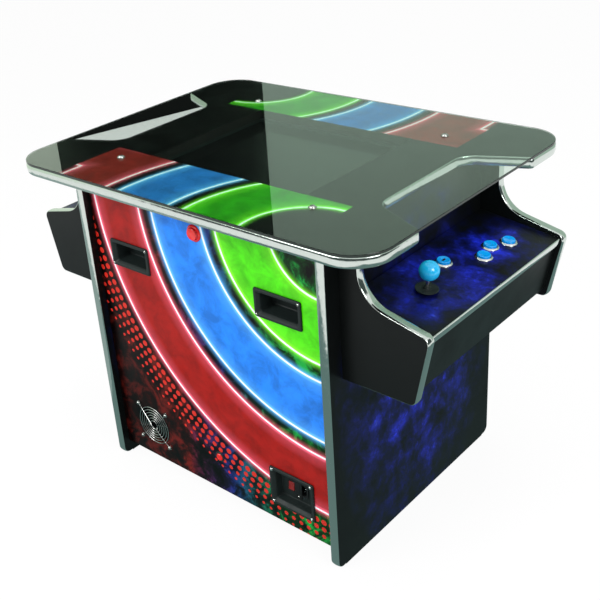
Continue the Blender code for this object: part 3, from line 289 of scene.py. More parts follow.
def printed(name, across, up, centres, inks, ground, limits=()):
    """Bands of ink round the nearer of the centres, over mottled dark clouds. The limits
    are (axis, least, most) distances from the middle, outside which the print stops."""
    material, shader = finish(name, FILM, 0.34, Specular_IOR_Level=0.2)
    place = grained(material, shader, 2.2, 0.005, (0.28, 0.42))
    split = node(material, "SeparateXYZ", {0: place}).outputs
    flat = node(material, "CombineXYZ", {"X": split[across], "Y": split[up]})
    span = 9.0
    for centre in centres:
        away = node(material, "VectorMath", {0: flat, 1: (*centre, 0)}, operation="DISTANCE")
        span = node(material, "Math", {0: away.outputs["Value"], 1: span}, operation="MINIMUM")
    steps = node(material, "MapRange", {
        "Value": span, "From Min": BAND_START, "From Max": BAND_START + BAND_PITCH}, clamp=False)
    share = node(material, "Math", {0: steps}, operation="FRACT")
    which = node(material, "Math", {0: steps, 1: BAND_COUNT}, operation="DIVIDE")
    shown = 1.0
    for axis, least, most in limits:
        size = node(material, "Math", {0: split[axis]}, operation="ABSOLUTE")
        above = node(material, "Math", {0: size, 1: least}, operation="GREATER_THAN")
        below = node(material, "Math", {0: size, 1: most}, operation="LESS_THAN")
        for part in (above, below):
            shown = node(material, "Math", {0: part, 1: shown}, operation="MULTIPLY")
    banded = shown
    for bound, side in ((0.0, "GREATER_THAN"), (BAND_COUNT, "LESS_THAN")):
        inside = node(material, "Math", {0: steps, 1: bound}, operation=side)
        banded = node(material, "Math", {0: banded, 1: inside}, operation="MULTIPLY")

    # 40 mm clouds: bright on the ground, and a faint darkening in the bands
    cloud = node(material, "TexNoise", {"Vector": place, "Scale": per(42), "Detail": 8.0,
                                        "Roughness": 0.66, "Distortion": 0.5})
    along = node(material, "MapRange", {"Value": split[across], "From Min": -0.30,
                                        "From Max": 0.30})
    tone = node(material, "ValToRGB", {"Fac": along}, ground)
    broken = node(material, "ValToRGB", {"Fac": cloud},
                  [(0.38, "000000"), (0.50, "606060"), (0.62, "ffffff")])
    colour = node(material, "Mix", {0: 1.0, 6: tone, 7: broken}, data_type="RGBA",
                  blend_type="MULTIPLY").outputs[2]

    # Dots in rows that shrink outwards from the last band
    offset = node(material, "VectorMath", {0: flat, 1: (*centres[0], 0)}, operation="SUBTRACT")
    parts = node(material, "SeparateXYZ", {0: offset}).outputs
    angle = node(material, "Math", {0: parts["Y"], 1: parts["X"]}, operation="ARCTAN2")
    outer = BAND_START + BAND_PITCH * BAND_COUNT
    turns = node(material, "Math", {0: angle, 1: outer / DOT_PITCH}, operation="MULTIPLY")
    rows = node(material, "MapRange", {"Value": span, "From Min": outer,
                                       "From Max": outer + DOT_PITCH}, clamp=False)
    cells = []
    for value in (turns, rows):
        part = node(material, "Math", {0: value}, operation="FRACT")
        part = node(material, "Math", {0: part, 1: 0.5}, operation="SUBTRACT")
        cells.append(node(material, "Math", {0: part, 1: part}, operation="MULTIPLY"))
    apart = node(material, "Math", {0: cells[0], 1: cells[1]}, operation="ADD")
    row = node(material, "Math", {0: rows}, operation="FLOOR")
    size = node(material, "MapRange", {"Value": row, "From Max": DOT_ROWS, "To Min": 0.13,
                                       "To Max": 0.0})
    dot = node(material, "Math", {0: apart, 1: size}, operation="LESS_THAN")
    beyond = node(material, "Math", {0: rows, 1: 0.0}, operation="GREATER_THAN")
    for part in (beyond, shown):
        dot = node(material, "Math", {0: dot, 1: part}, operation="MULTIPLY")
    colour = node(material, "Mix", {0: dot, 6: colour, 7: linear(DOT_COLOUR)},
                  data_type="RGBA").outputs[2]

    # The bands themselves: ink, its glow, and the white line
    shade = node(material, "ValToRGB", {"Fac": cloud}, [(0.35, "d0d0d0"), (0.60, "ffffff")])
    by_band = [node(material, "ValToRGB", {"Fac": which},
                    [(index / BAND_COUNT, one) for index, one in enumerate(colours)], stepped=True)
               for colours in (inks, GLOWS)]
    ink = node(material, "Mix", {0: 1.0, 6: by_band[0], 7: shade}, data_type="RGBA",
               blend_type="MULTIPLY").outputs[2]
    for stops, over in ((INKED, ink), (HALO, by_band[1]), (LINES, linear("f4f8ff"))):
        amount = node(material, "ValToRGB", {"Fac": share}, stops)
        amount = node(material, "Math", {0: amount, 1: banded}, operation="MULTIPLY")
        colour = node(material, "Mix", {0: amount, 6: colour, 7: over}, data_type="RGBA").outputs[2]
    link(material, colour, shader.inputs["Base Color"])
    return material


side_print = printed("film_printed_side", "X", "Z", [(0.285, 0.659)], SIDE_INKS,
                     [(0.0, "3a0a06"), (0.35, "6a140e"), (0.55, "10287a"), (0.78, "0f8a34"),
                      (0.92, "13a83e"), (1.0, "0a5a22")])
# The top print: the same film as the side, with its inks darkened as painted shade
top_print = printed("film_printed_top", "X", "Y", [(0.285, -0.290), (-0.285, 0.290)], SHADED_TOP_INKS,
                    [(0.0, "0b0e0e"), (1.0, "0b0e0e")], [("X", -1.0, 0.285), ("Y", 0.158, 0.315)])


def glowing(name, centre, radii):
    """Blue clouds on black that fade out towards the edges of a board."""
    material, shader = finish(name, FILM, 0.34, Specular_IOR_Level=0.2)
    place = grained(material, shader, 2.2, 0.005, (0.28, 0.42))
    scale = [1 / radius for radius in radii]
    spot = node(material, "Mapping", {"Vector": place, "Scale": scale,
                                      "Location": [-c * s for c, s in zip(centre, scale)]})
    fade = node(material, "TexGradient", {"Vector": spot}, gradient_type="SPHERICAL")
    soft = node(material, "ValToRGB", {"Fac": fade.outputs["Fac"]},
                [(0.0, "000000"), (0.25, "909090"), (0.6, "ffffff")])
    broad = node(material, "TexNoise", {"Vector": place, "Scale": per(60), "Detail": 9.0,
                                        "Roughness": 0.68, "Distortion": 0.2})
    cloud = node(material, "ValToRGB", {"Fac": broad},
                 [(0.36, "04060a"), (0.47, "090f4a"), (0.57, "121c8c"), (0.66, "2030d8"),
                  (0.76, "5c78ff")])
    fine = node(material, "TexNoise", {"Vector": place, "Scale": per(14), "Detail": 3.0})
    fleck = node(material, "ValToRGB", {"Fac": fine}, [(0.60, "000000"), (0.70, "ffffff")])
    fleck = node(material, "Mix", {0: 1.0, 6: fleck, 7: cloud}, data_type="RGBA",
                 blend_type="MULTIPLY").outputs[2]
    cloud = node(material, "Mix", {0: 1.0, 6: cloud, 7: fleck}, data_type="RGBA",
                 blend_type="ADD").outputs[2]
    colour = node(material, "Mix", {0: soft, 6: linear(FILM), 7: cloud},
                  data_type="RGBA").outputs[2]
    link(material, colour, shader.inputs["Base Color"])
    return material


end_glow = glowing("film_printed_end", (0, 0, 0.30), (0.6, 0.30, 0.46))
panel_glow = {side: glowing(f"film_printed_panel_{side}", (sign * 0.385, 0.0, 0.535),
                            (0.115, 0.26, 0.2))
              for side, sign in (("right", 1), ("left", -1))}


# Shapes


def trace(shape, corners, height=0.0, closed=True):
    """Draws a level line through (x, y) or (x, y, radius) corners. A point is spun round each
    that has a radius."""
    count, drawn, ends = len(corners), [], []
    for index, (x, y, *ease) in enumerate(corners):
        radius = ease[0] if ease else 0
        here = Vector((x, y, height))
        if not radius or (not closed and index in (0, count - 1)):
            point = shape.verts.new(here)
            ends.append((point, point))
            continue
        before = (Vector((*corners[index - 1][:2], height)) - here).normalized()
        after = (Vector((*corners[(index + 1) % count][:2], height)) - here).normalized()
        half = before.angle(after) / 2
        centre = here + (before + after).normalized() * (radius / math.sin(half))
        point = shape.verts.new(here + before * (radius / math.tan(half)))
        sweep = math.copysign(math.pi - 2 * half, -before.cross(after).z)
        known = len(shape.edges)
        spun = bmesh.ops.spin(shape, geom=[point], cent=centre, axis=(0, 0, 1), angle=sweep,
                              steps=max(2, math.ceil(abs(sweep) / TURN)))
        shape.edges.ensure_lookup_table()
        drawn += shape.edges[known:]
        ends.append((point, spun["geom_last"][0]))
    for (_, last), (first, _) in zip(ends, ends[1:] + ends[:1] if closed else ends[1:]):
        if (last.co - first.co).length > 1e-7:
            drawn.append(shape.edges.new((last, first)))
    return drawn


def moved_in(corners, distance, closed=True):
    """The same corners moved to the left of the line, with their radii changed to suit."""
    count, result = len(corners), []
    for index, (x, y, *ease) in enumerate(corners):
        radius = ease[0] if ease else 0
        here = Vector((x, y))
        sides = []
        if closed or index > 0:
            sides.append((here - Vector(corners[index - 1][:2])).normalized())
        if closed or index < count - 1:
            sides.append((Vector(corners[(index + 1) % count][:2]) - here).normalized())
        normals = [Vector((-side.y, side.x)) for side in sides]
        first, last = normals[0], normals[-1]
        here += (first + last) * (distance / (1 + first.dot(last)))
        left = sides[0].cross(sides[-1]) > 0
        result.append((*here, max(radius + (-distance if left else distance), 0.0005) if radius
                       else 0))
    return result


def rectangle(width, height, radius=0.0, centre=(0.0, 0.0)):
    x, y = centre
    return [(x + sx * width / 2, y + sy * height / 2, radius)
            for sx, sy in ((-1, -1), (1, -1), (1, 1), (-1, 1))]


def circle(radius, centre=(0.0, 0.0)):
    return rectangle(2 * radius, 2 * radius, radius, centre)


def welded(shape):
    """Merges the points that coincide, and turns the faces outwards."""
    bmesh.ops.remove_doubles(shape, verts=shape.verts[:], dist=1e-6)
    bmesh.ops.recalc_face_normals(shape, faces=shape.faces[:])
    if shape.calc_volume(signed=True) < 0:
        bmesh.ops.reverse_faces(shape, faces=shape.faces[:])
    return shape


def raised(shape, faces, height):
    """Draws faces out along Z and keeps what they stood on. Returns the new points."""
    grown = bmesh.ops.extrude_face_region(shape, geom=faces, use_keep_orig=True)["geom"]
    points = [part for part in grown if isinstance(part, bmesh.types.BMVert)]
    bmesh.ops.translate(shape, verts=points, vec=(0, 0, height))
    return points


def plate(outline, thickness, holes=()):
    """A flat board with holes."""
    shape = bmesh.new()
    for line in (outline, *holes):
        trace(shape, line)
    bmesh.ops.remove_doubles(shape, verts=shape.verts[:], dist=1e-6)
    bmesh.ops.triangle_fill(shape, use_beauty=True, edges=shape.edges[:], normal=(0, 0, 1))
    raised(shape, shape.faces[:], thickness)
    return welded(shape)


def stacked(sections, closed=True, ring=False):
    """A skin through (corners, height) sections. Each is bridged to the next, and the flat
    between two loops of one height is filled. A ring's last is joined to its first."""
    shape = bmesh.new()
    rows = [(trace(shape, corners, height, closed), height) for corners, height in sections]
    pairs = list(zip(rows, rows[1:] + rows[:1])) if ring else list(zip(rows, rows[1:]))
    for (low, bottom), (high, top) in pairs:
        if closed and bottom == top:
            bmesh.ops.triangle_fill(shape, use_beauty=True, edges=low + high, normal=(0, 0, 1))
        else:
            bmesh.ops.bridge_loops(shape, edges=low + high)
    if ring and not closed:
        bmesh.ops.holes_fill(shape, edges=shape.edges[:])
    elif not ring:
        for row, _ in (rows[0], rows[-1]):
            bmesh.ops.contextual_create(shape, geom=row)
    return welded(shape)


# Half of a strip's face (out, up): a quarter of a flat ellipse from its edge to its middle
CROWN = [(0.0003, 0.0)]
CROWN += [(0.0006 + (HEAD - 0.0006) * math.sin(turn), BOARD / 2 * (1 - math.cos(turn)))
          for turn in (0.0, 0.25, 0.5, 0.8, 1.15, math.pi / 2)]


def moulding(outer, closed=True):
    """The crowned head of an edging strip, round the outline that its face follows."""
    section = CROWN + [(out, BOARD - up) for out, up in reversed(CROWN[:-1])]
    return stacked([(moved_in(outer, HEAD - out, closed), up) for out, up in section],
                   closed, ring=True)


def lathe(profile, steps=48):
    """Spins a line of (radius, height[, fillet]) corners round the Z axis."""
    shape = bmesh.new()
    trace(shape, profile, closed=False)
    bmesh.ops.transform(shape, matrix=UPRIGHT, verts=shape.verts[:])
    bmesh.ops.spin(shape, geom=shape.verts[:] + shape.edges[:], cent=(0, 0, 0),
                   axis=(0, 0, 1), angle=2 * math.pi, steps=steps, use_merge=True)
    return welded(shape)


def eased(shape, width, segments=2, sharp=60):
    """Rounds every edge that is sharper than an angle."""
    edges = [edge for edge in shape.edges
             if len(edge.link_faces) == 2 and edge.calc_face_angle() > math.radians(sharp)]
    bmesh.ops.bevel(shape, geom=edges, offset=width, segments=segments, profile=0.5,
                    affect="EDGES", material=-1)
    return welded(shape)


def box(size, centre=(0, 0, 0)):
    shape = bmesh.new()
    bmesh.ops.create_cube(shape, size=1, matrix=at(*centre) @ Matrix.Diagonal((*size, 1)))
    return shape


def bent(points, radius):
    """A round wire through points, bent in smooth curves."""
    curve = bpy.data.curves.new("wire", "CURVE")
    curve.dimensions = "3D"
    spline = curve.splines.new("NURBS")
    spline.points.add(len(points) - 1)
    for spot, point in zip(spline.points, points):
        spot.co = (*point, 1)
    spline.order_u = 3
    spline.use_endpoint_u = True
    curve.resolution_u = 6
    curve.bevel_depth = radius
    curve.bevel_resolution = 3
    curve.use_fill_caps = True
    thing = bpy.data.objects.new("wire", curve)
    bpy.context.scene.collection.objects.link(thing)
    mesh = bpy.data.meshes.new_from_object(thing.evaluated_get(
        bpy.context.evaluated_depsgraph_get()))
    shape = bmesh.new()
    shape.from_mesh(mesh)
    bpy.data.objects.remove(thing)
    bpy.data.meshes.remove(mesh)
    return welded(shape)


def joined(*shapes):
    """All the shapes in one."""
    whole = shapes[0]
    for other in shapes[1:]:
        mesh = bpy.data.meshes.new("part")
        other.to_mesh(mesh)
        other.free()
        whole.from_mesh(mesh)
        bpy.data.meshes.remove(mesh)
    return whole


def put(shape, matrix):
    bmesh.ops.transform(shape, matrix=matrix, verts=shape.verts[:])
    return shape


def piece(name, shape, material, matrix, stands_for=(), body="cabinet", sharp=32):
    """Makes the object of a shape: its finish, what it rides on and what it stands for."""
    put(shape, matrix)
    mesh = bpy.data.meshes.new(name)
    shape.to_mesh(mesh)
    shape.free()
    materials = material if isinstance(material, list) else [material]
    for one in materials:
        mesh.materials.append(one)
    mesh.shade_smooth()
    mesh.set_sharp_from_angle(angle=math.radians(sharp))
    thing = bpy.data.objects.new(name, mesh)
    bpy.context.scene.collection.objects.link(thing)
    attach(thing, body)
    if stands_for:
        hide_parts(*stands_for)
    return thing


HEXAGON = [(math.cos(math.radians(60 * turn)), math.sin(math.radians(60 * turn)))
           for turn in range(6)]
CROSS = [(0.22, 0.22), (0.22, 1.0), (-0.22, 1.0), (-0.22, 0.22), (-1.0, 0.22),
         (-1.0, -0.22), (-0.22, -0.22), (-0.22, -1.0), (0.22, -1.0), (0.22, -0.22),
         (1.0, -0.22), (1.0, 0.22)]


def screw(radius, height, size, recess=CROSS):
    """A domed head with a recess for the driver."""
    flat = radius * 0.62
    head = lathe([(0, 0), (radius, 0), (radius, height * 0.25),
                  (radius * 0.93, height * 0.62, radius), (flat, height)], 24)
    top = bmesh.new()
    bmesh.ops.create_circle(top, segments=24, radius=flat, matrix=at(0, 0, height))
    rim_edges = top.edges[:]
    mark = trace(top, [(x * size, y * size) for x, y in recess], height)
    bmesh.ops.triangle_fill(top, use_beauty=True, edges=rim_edges + mark, normal=(0, 0, 1))
    deep = bmesh.ops.extrude_edge_only(top, edges=mark)["geom"]
    points = [part for part in deep if isinstance(part, bmesh.types.BMVert)]
    bmesh.ops.translate(top, verts=points, vec=(0, 0, -height * 0.7))
    floor = [part for part in deep if isinstance(part, bmesh.types.BMEdge)
             and all(vert in points for vert in part.verts)]
    bmesh.ops.triangle_fill(top, use_beauty=True, edges=floor, normal=(0, 0, 1))
    return welded(joined(head, top))


def screws(name, sizes, spots, matrix, metal=steel, first=0.0, step=0.0):
    """A row of screws. Each recess is turned by one more step than the one before."""
    for index, spot in enumerate(spots):
        piece(f"{name}_{index}", screw(*sizes), metal,
              matrix @ at(*spot) @ Matrix.Rotation(first + step * index, 4, "Z"))


def four(x, y):
    """One point in each quarter, at the same distances from the middle."""
    return [(x, y), (-x, y), (-x, -y), (x, -y)]


# Table top


def table_outline():
    x, y = TABLE_LENGTH / 2, TABLE_WIDTH / 2
    half = [
        (x, -y, TABLE_CORNER),
        (x, -NOTCH_MOUTH_HALF, NOTCH_MOUTH_RADIUS),
        (NOTCH_BACK, -NOTCH_BACK_HALF, NOTCH_BACK_RADIUS),
        (NOTCH_BACK, NOTCH_BACK_HALF, NOTCH_BACK_RADIUS),
        (x, NOTCH_MOUTH_HALF, NOTCH_MOUTH_RADIUS),
        (x, y, TABLE_CORNER),
    ]
    return half + [(-right, -far, radius) for right, far, radius in half]


def make_top():
    outer = table_outline()
    level = at(0, 0, TOP_BOTTOM)
    bolts = four(*GLASS_BOLTS)
    bolt_holes = [circle(GLASS_BOLT_HOLE, spot) for spot in bolts]
    shape = plate(moved_in(outer, HEAD), BOARD, [rectangle(*SCREEN_OPENING, 0.001)] + bolt_holes)
    for face in shape.faces:
        face.material_index = 0 if face.normal.z > 0.5 else 1
    piece("top_board_printed", shape, [top_print, fibre], level, ["top_board"])
    piece("top_moulding", moulding(outer), chrome, level, ["top_edging"])

    size = (TABLE_LENGTH - 2 * GLASS_INSET, TABLE_WIDTH - 2 * GLASS_INSET)
    sheet = eased(plate(rectangle(*size, TABLE_CORNER - GLASS_INSET), GLASS, bolt_holes), 0.0007)
    for face in sheet.faces:
        face.material_index = 0 if abs(face.normal.z) > 0.9 else 1
    piece("glass_sheet", sheet, [glass, rim], at(0, 0, TABLE_HEIGHT - GLASS),
          ["glass_top"], sharp=15)
    collar_high = 0.0009
    for index, spot in enumerate(bolts):
        head = put(screw(*GLASS_BOLT, HEXAGON), at(0, 0, collar_high))
        collar = lathe([(GLASS_BOLT_HOLE, 0), (0.0075, 0), (0.0075, 0.0006),
                        (0.0070, collar_high), (0.0055, collar_high),
                        (GLASS_BOLT_HOLE, 0)], 32)
        shank = lathe([(0, -0.0200), (0.0036, -0.0200), (0.0036, 0.0003),
                       (0, 0.0003)], 24)
        piece(f"glass_bolt_{index}", joined(head, collar, shank), steel,
              at(*spot, TABLE_HEIGHT + 0.0001) @ Matrix.Rotation(0.7 * index, 4, "Z"))


# Body


def make_body():
    half = BODY_WIDTH / 2
    outer = [(-half, BODY_TOP), (-half, 0, FOOT_RADIUS), (FOOT_RETURN - half, 0)]
    other = [(-x, *rest) for x, *rest in reversed(outer)]
    for name, inner in (("right", END_FACE - BOARD), ("left", -END_FACE)):
        matrix = at(inner, 0, 0) @ ENDWISE
        for side, line in (("front", outer), ("back", other)):
            piece(f"end_moulding_{name}_{side}", moulding(line, closed=False), chrome,
                  matrix, [f"end_edging_{name}_{side}"])


# Control boxes


def cheek_outline():
    rest_x, rest_z, fall = CHEEK_REST
    nose_x, nose_z, lean = CHEEK_NOSE
    reach = nose_x + lean * (rest_z + fall * rest_x - nose_z)
    tip_x = reach / (1 + lean * fall)
    return [
        (END_FACE + GAP, CHEEK_BOTTOM),
        (nose_x + lean * (CHEEK_BOTTOM - nose_z), CHEEK_BOTTOM, CHEEK_TOE_RADIUS),
        (tip_x, rest_z - fall * (tip_x - rest_x), CHEEK_TOP_RADIUS),
        (CHEEK_NECK, rest_z - fall * (CHEEK_NECK - rest_x), CHEEK_FILLET),
        (CHEEK_NECK, BODY_TOP),
    ]


def make_cheeks(end, frame_of_end):
    outer = cheek_outline()
    edge = moved_in(outer, HEAD, closed=False)
    outline = edge + [(END_FACE + GAP, BODY_TOP)]
    for side, inner in (("front", -CHEEK_INNER), ("back", CHEEK_FACE)):
        matrix = frame_of_end @ at(0, inner, 0) @ UPRIGHT
        piece(f"cheek_board_{end}_{side}", plate(outline, BOARD), laminate,
              matrix, [f"cheek_{end}_{side}"])
        piece(f"cheek_moulding_{end}_{side}", moulding(outer, closed=False), chrome,
              matrix, [f"cheek_edging_{end}_{side}"])


def make_panel(end, panel):
    half = CHEEK_INNER - GAP
    sine, cosine = math.sin(PANEL_TILT), math.cos(PANEL_TILT)
    reach = PANEL_REACH - HEAD
    holes = [circle(STICK_HOLE, STICK_AT)]
    holes += [circle(BARREL + GAP, spot) for spot in BUTTONS_AT.values()]
    back = (2 * GAP + PANEL * sine) / cosine
    outline = [(back, -half), (reach, -half), (reach, half), (back, half)]
    shape = plate(outline, PANEL, holes)
    for face in shape.faces:
        face.material_index = 0 if face.normal.z > 0.5 else 1
    under = panel @ at(0, 0, -PANEL)
    piece(f"panel_board_{end}", shape, [panel_glow[end], fibre], under,
          [f"control_board_{end}"])
    inside = HOUSING - 2 * HOUSING_WALL
    tall = HOUSING_DEPTH - PANEL - GAP
    inner, outer = rectangle(inside, inside, 0.0015), rectangle(HOUSING, HOUSING, 0.003)
    walls = stacked([(inner, tall), (outer, tall), (outer, 0), (inner, 0)], ring=True)
    piece(f"stick_housing_{end}", walls, nylon,
          panel @ at(*STICK_AT, -HOUSING_DEPTH))
    # The moulding across the front edge: the same crown, on a thinner board
    share = PANEL / BOARD
    strip = bmesh.new()
    crown = [(out, up * share) for out, up in CROWN]
    crown += [(out, PANEL - up) for out, up in reversed(crown[:-1])]
    trace(strip, [(reach + out, up) for out, up in crown])
    bmesh.ops.triangle_fill(strip, use_beauty=True, edges=strip.edges[:], normal=(0, 0, 1))
    raised(strip, strip.faces[:], 2 * half)
    piece(f"panel_moulding_{end}", welded(strip), chrome,
          under @ at(0, half, 0) @ UPRIGHT)


def make_stick(end, panel):
    pivot = panel @ at(*STICK_AT, -PIVOT_DEPTH)
    body = f"joystick_lever_{end}"
    shaft_top = STICK_TOP + PIVOT_DEPTH - 0.004
    shaft_end, hub = -0.016, 0.007
    lever = lathe([(0, shaft_top), (STICK_SHAFT, shaft_top), (STICK_SHAFT, 0.006),
                   (hub, 0.004, 0.001), (hub, -0.005, 0.001), (STICK_SHAFT, -0.007),
                   (STICK_SHAFT, shaft_end, 0.001), (0, shaft_end)], 32)
    piece(f"stick_shaft_{end}", lever, steel, pivot, [f"joystick_shaft_{end}"], body)
    hole = STICK_SHAFT + 0.0001
    disc = lathe([(hole, 0.0012), (0.008, 0.0020, 0.004), (DUST_WASHER, 0.0040, 0.0012),
                  (DUST_WASHER, 0.0054, 0.0008), (0.010, 0.0046, 0.01), (0.0062, 0.0050, 0.001),
                  (0.0058, 0.0072, 0.001), (hole, 0.0074), (hole, 0.0012)], 64)
    piece(f"dust_washer_{end}", disc, moulded,
          pivot @ at(0, 0, PIVOT_DEPTH + WASHER_LIFT), body=body)
    ball = bmesh.new()
    bmesh.ops.create_uvsphere(ball, u_segments=64, v_segments=32, radius=BALL)
    cut = bmesh.ops.bisect_plane(ball, geom=ball.verts[:] + ball.edges[:] + ball.faces[:],
                                 plane_co=(0, 0, -BALL * 0.93), plane_no=(0, 0, -1),
                                 clear_outer=True)
    rim_edges = [part for part in cut["geom_cut"] if isinstance(part, bmesh.types.BMEdge)]
    bmesh.ops.triangle_fill(ball, use_beauty=True, edges=rim_edges)
    piece(f"stick_ball_{end}", welded(ball), ball_blue,
          pivot @ at(0, 0, BALL_HEIGHT + PIVOT_DEPTH), [f"joystick_ball_{end}"], body)


def button(name, thickness, matrix, cap, surround):
    """A bezel clamped through a board by its nut, and the dished plunger in it."""
    bore, inside = PLUNGER + GAP, BARREL - 0.0007
    under, floor = -0.0086, -0.020  # the levels where the plunger's guide and its room end
    ring = lathe([(0, floor), (inside, floor), (inside, under), (bore, under),
                  (bore, BEZEL_HIGH, 0.0006), (0.0139, BEZEL_HIGH, 0.0010),
                  (BEZEL, 0.0018, 0.0012), (BEZEL, GAP), (BARREL, GAP),
                  (BARREL, -thickness - GAP), (BARREL, -BUTTON_DEPTH, 0.001),
                  (0, -BUTTON_DEPTH)], 64)
    piece(name + "_bezel", ring, surround, matrix, [name + "_body"])
    nut = plate([(x * NUT, y * NUT, 0.002) for x, y in HEXAGON], NUT_HIGH,
                [circle(BARREL + 0.0001)])
    piece(name + "_nut", nut, nylon,
          matrix @ at(0, 0, -thickness - GAP - NUT_HIGH))
    top, skirt, flange, end = PLUNGER_HIGH, -0.009, PLUNGER + 0.0008, -0.012
    head = lathe([(0, top - 0.0014), (0.004, top - 0.00125, 0.01), (0.0078, top - 0.0007, 0.01),
                  (PLUNGER - 0.0012, top, 0.0010), (PLUNGER, top - 0.0012, 0.0008),
                  (PLUNGER, skirt), (flange, skirt), (flange, end, 0.0004), (0, end)], 64)
    plunger = name + "_plunger"
    piece(name + "_cap", head, cap, matrix, [plunger], plunger)


def make_players():
    for end, turn in ENDS.items():
        make_cheeks(end, turn)
        panel = turn @ TILT
        make_panel(end, panel)
        make_stick(end, panel)
        for which, spot in BUTTONS_AT.items():
            button(f"button_{end}_{which}", PANEL, panel @ at(*spot), cyan, plated)
        mark = eased(plate(rectangle(0.0034, 0.0098, 0.0016), 0.0004), 0.00008, 1)
        piece(f"start_mark_{end}", mark, moulded,
              panel @ at(*BUTTONS_AT["start"], PLUNGER_HIGH - 0.00145),
              body=f"button_{end}_start_plunger", sharp=15)


# Fittings of the front side board


def cup(rim_size, cup_size, deep, holes=()):
    """A rounded rim round a deep pocket whose mouth is bevelled, with holes in its floor."""
    face = GAP + CUP_PROUD
    sections = [(cup_size, -deep - CUP_WALL), (cup_size, GAP), (rim_size, GAP)]
    for turn in (0.0, 0.4, 0.8, 1.2, math.pi / 2):
        drawn_in = 2 * CUP_EASE * (1 - math.cos(turn))
        size = (rim_size[0] - drawn_in, rim_size[1] - drawn_in)
        sections.append((size, face - CUP_EASE * (1 - math.sin(turn))))
    # Then inwards over the mouth, and down the pocket to its floor
    mouth = ((0.0055, face), (0.0058, face - 0.0001), (0.0062, face - 0.0005))
    pocket = ((-0.0008, -0.0008), (-0.0001, -0.0022), (0, -0.0040), (0.0004, 0.0030 - deep),
              (0.0010, 0.0010 - deep), (0.0026, -deep))
    for size, inset, rows in ((rim_size, 0, mouth), (cup_size, CUP_WALL, pocket)):
        for inward, height in rows:
            less = 2 * (inset + inward)
            sections.append(((size[0] - less, size[1] - less), height))
    skin = stacked([(rectangle(*size, CUP_CORNER), height) for size, height in sections], ring=True)
    floor = plate(rectangle(*cup_size, CUP_CORNER), CUP_WALL, holes)
    return joined(skin, put(floor, at(0, 0, -deep - CUP_WALL)))


def make_grips():
    for end, side in (("left", -1), ("right", 1)):
        matrix = front_face((side * GRIP_AT[0], GRIP_AT[1]))
        piece("grip_" + end, cup(GRIP_RIM, GRIP_CUP, GRIP_DEEP), moulded,
              matrix, ["handle_" + end])
        screws("grip_screw_" + end, GRIP_SCREW, ((0.0480, 0.0236), (-0.0480, -0.0236)),
               matrix @ at(0, 0, GAP + CUP_PROUD - 0.0001), first=0.5, step=1.0)


def make_mains():
    matrix = front_face(MAINS_AT)
    hole = rectangle(MAINS_MODULE[0] - 0.006, MAINS_MODULE[1] - 0.001)
    piece("mains_cup", cup(MAINS_RIM, MAINS_CUP, MAINS_DEEP, [hole]), moulded,
          matrix, ["mains_plate"])
    screws("mains_corner_screw", MAINS_SCREW, four(0.0463, 0.0369),
           matrix @ at(0, 0, GAP + CUP_PROUD - 0.0001), plated, step=1.0)
    make_inlet(matrix @ at(0, 0, -MAINS_DEEP))
    make_rocker(matrix @ at(ROCKER_AT, 0, -MAINS_DEEP))


def lining(opening, top, deep):
    """A thin-walled box, open at the top, that lines an opening."""
    wall = 0.0008
    outer = moved_in(opening, -wall)
    return stacked([(outer, -deep - wall), (outer, top), (opening, top), (opening, -deep)])


def make_inlet(face):
    """The module on the plate's floor: the inlet with its pins, and the rocker's well."""
    half_w, half_h = INLET_MOUTH[0] / 2, INLET_MOUTH[1] / 2
    left, right = INLET_AT - half_w, INLET_AT + half_w
    nip, ease = 0.005, 0.001
    mouth = [(left, half_h, ease), (left, -half_h, ease), (right - nip, -half_h, ease),
             (right, nip - half_h, ease), (right, half_h - nip, ease), (right - nip, half_h, ease)]
    well = rectangle(2 * (ROCKER_HALF[0] + GAP), 2 * (ROCKER_HALF[1] + 0.0006), 0.0006,
                     (ROCKER_AT, 0))
    front = eased(plate(rectangle(*MAINS_MODULE, 0.0016), MODULE_PROUD, [mouth, well]), 0.0003)
    linings = [lining(opening, MODULE_PROUD - 0.0004, deep)
               for opening, deep in ((mouth, INLET_DEEP - MODULE_PROUD), (well, 0.007))]
    piece("mains_inlet", joined(front, *linings), nylon, face, sharp=15)
    blade, thick, tall = 0.004, 0.0016, 0.0095
    floor = face @ at(INLET_AT, 0, MODULE_PROUD - INLET_DEEP + 0.0048)
    for index, (across, up) in enumerate(((-0.0020, -0.007), (-0.0020, 0.007), (0.0020, 0))):
        size = (thick, blade, tall) if up else (blade, thick, tall)
        piece(f"inlet_pin_{index}", eased(box(size), 0.0004), plated,
              floor @ at(across, up), sharp=15)
    ears_high = MODULE_PROUD * 0.8
    ears = eased(plate(rectangle(0.016, MAINS_EARS, 0.006), ears_high), 0.0003, 1)
    piece("mains_ears", ears, nylon, face @ at(0, 0, -0.00005), sharp=15)
    screws("inlet_screw", INLET_SCREW, ((0, -0.020), (0, 0.020)), face @ at(0, 0, ears_high))


def make_rocker(pivot):
    half_w, half_h = ROCKER_HALF
    rocker = bmesh.new()
    low, high, lean = -0.003, 0.0038, 0.0006
    trace(rocker, [(lean - half_h, high, 0.0006), (-half_h, 0, 0.001), (lean - half_h, low),
                   (half_h - lean, low), (half_h, 0, 0.001), (half_h - lean, high, 0.0006),
                   (0, 0.0028, 0.03)])
    bmesh.ops.triangle_fill(rocker, use_beauty=True, edges=rocker.edges[:], normal=(0, 0, 1))
    raised(rocker, rocker.faces[:], 2 * half_w)
    rocker = eased(welded(rocker), 0.0004, sharp=75)
    piece("rocker_switch", rocker, dark_red,
          pivot @ Matrix.Rotation(-ROCKER_TURN, 4, "X") @ at(-half_w, 0, 0) @ ENDWISE,
          ["mains_rocker"], "mains_rocker")


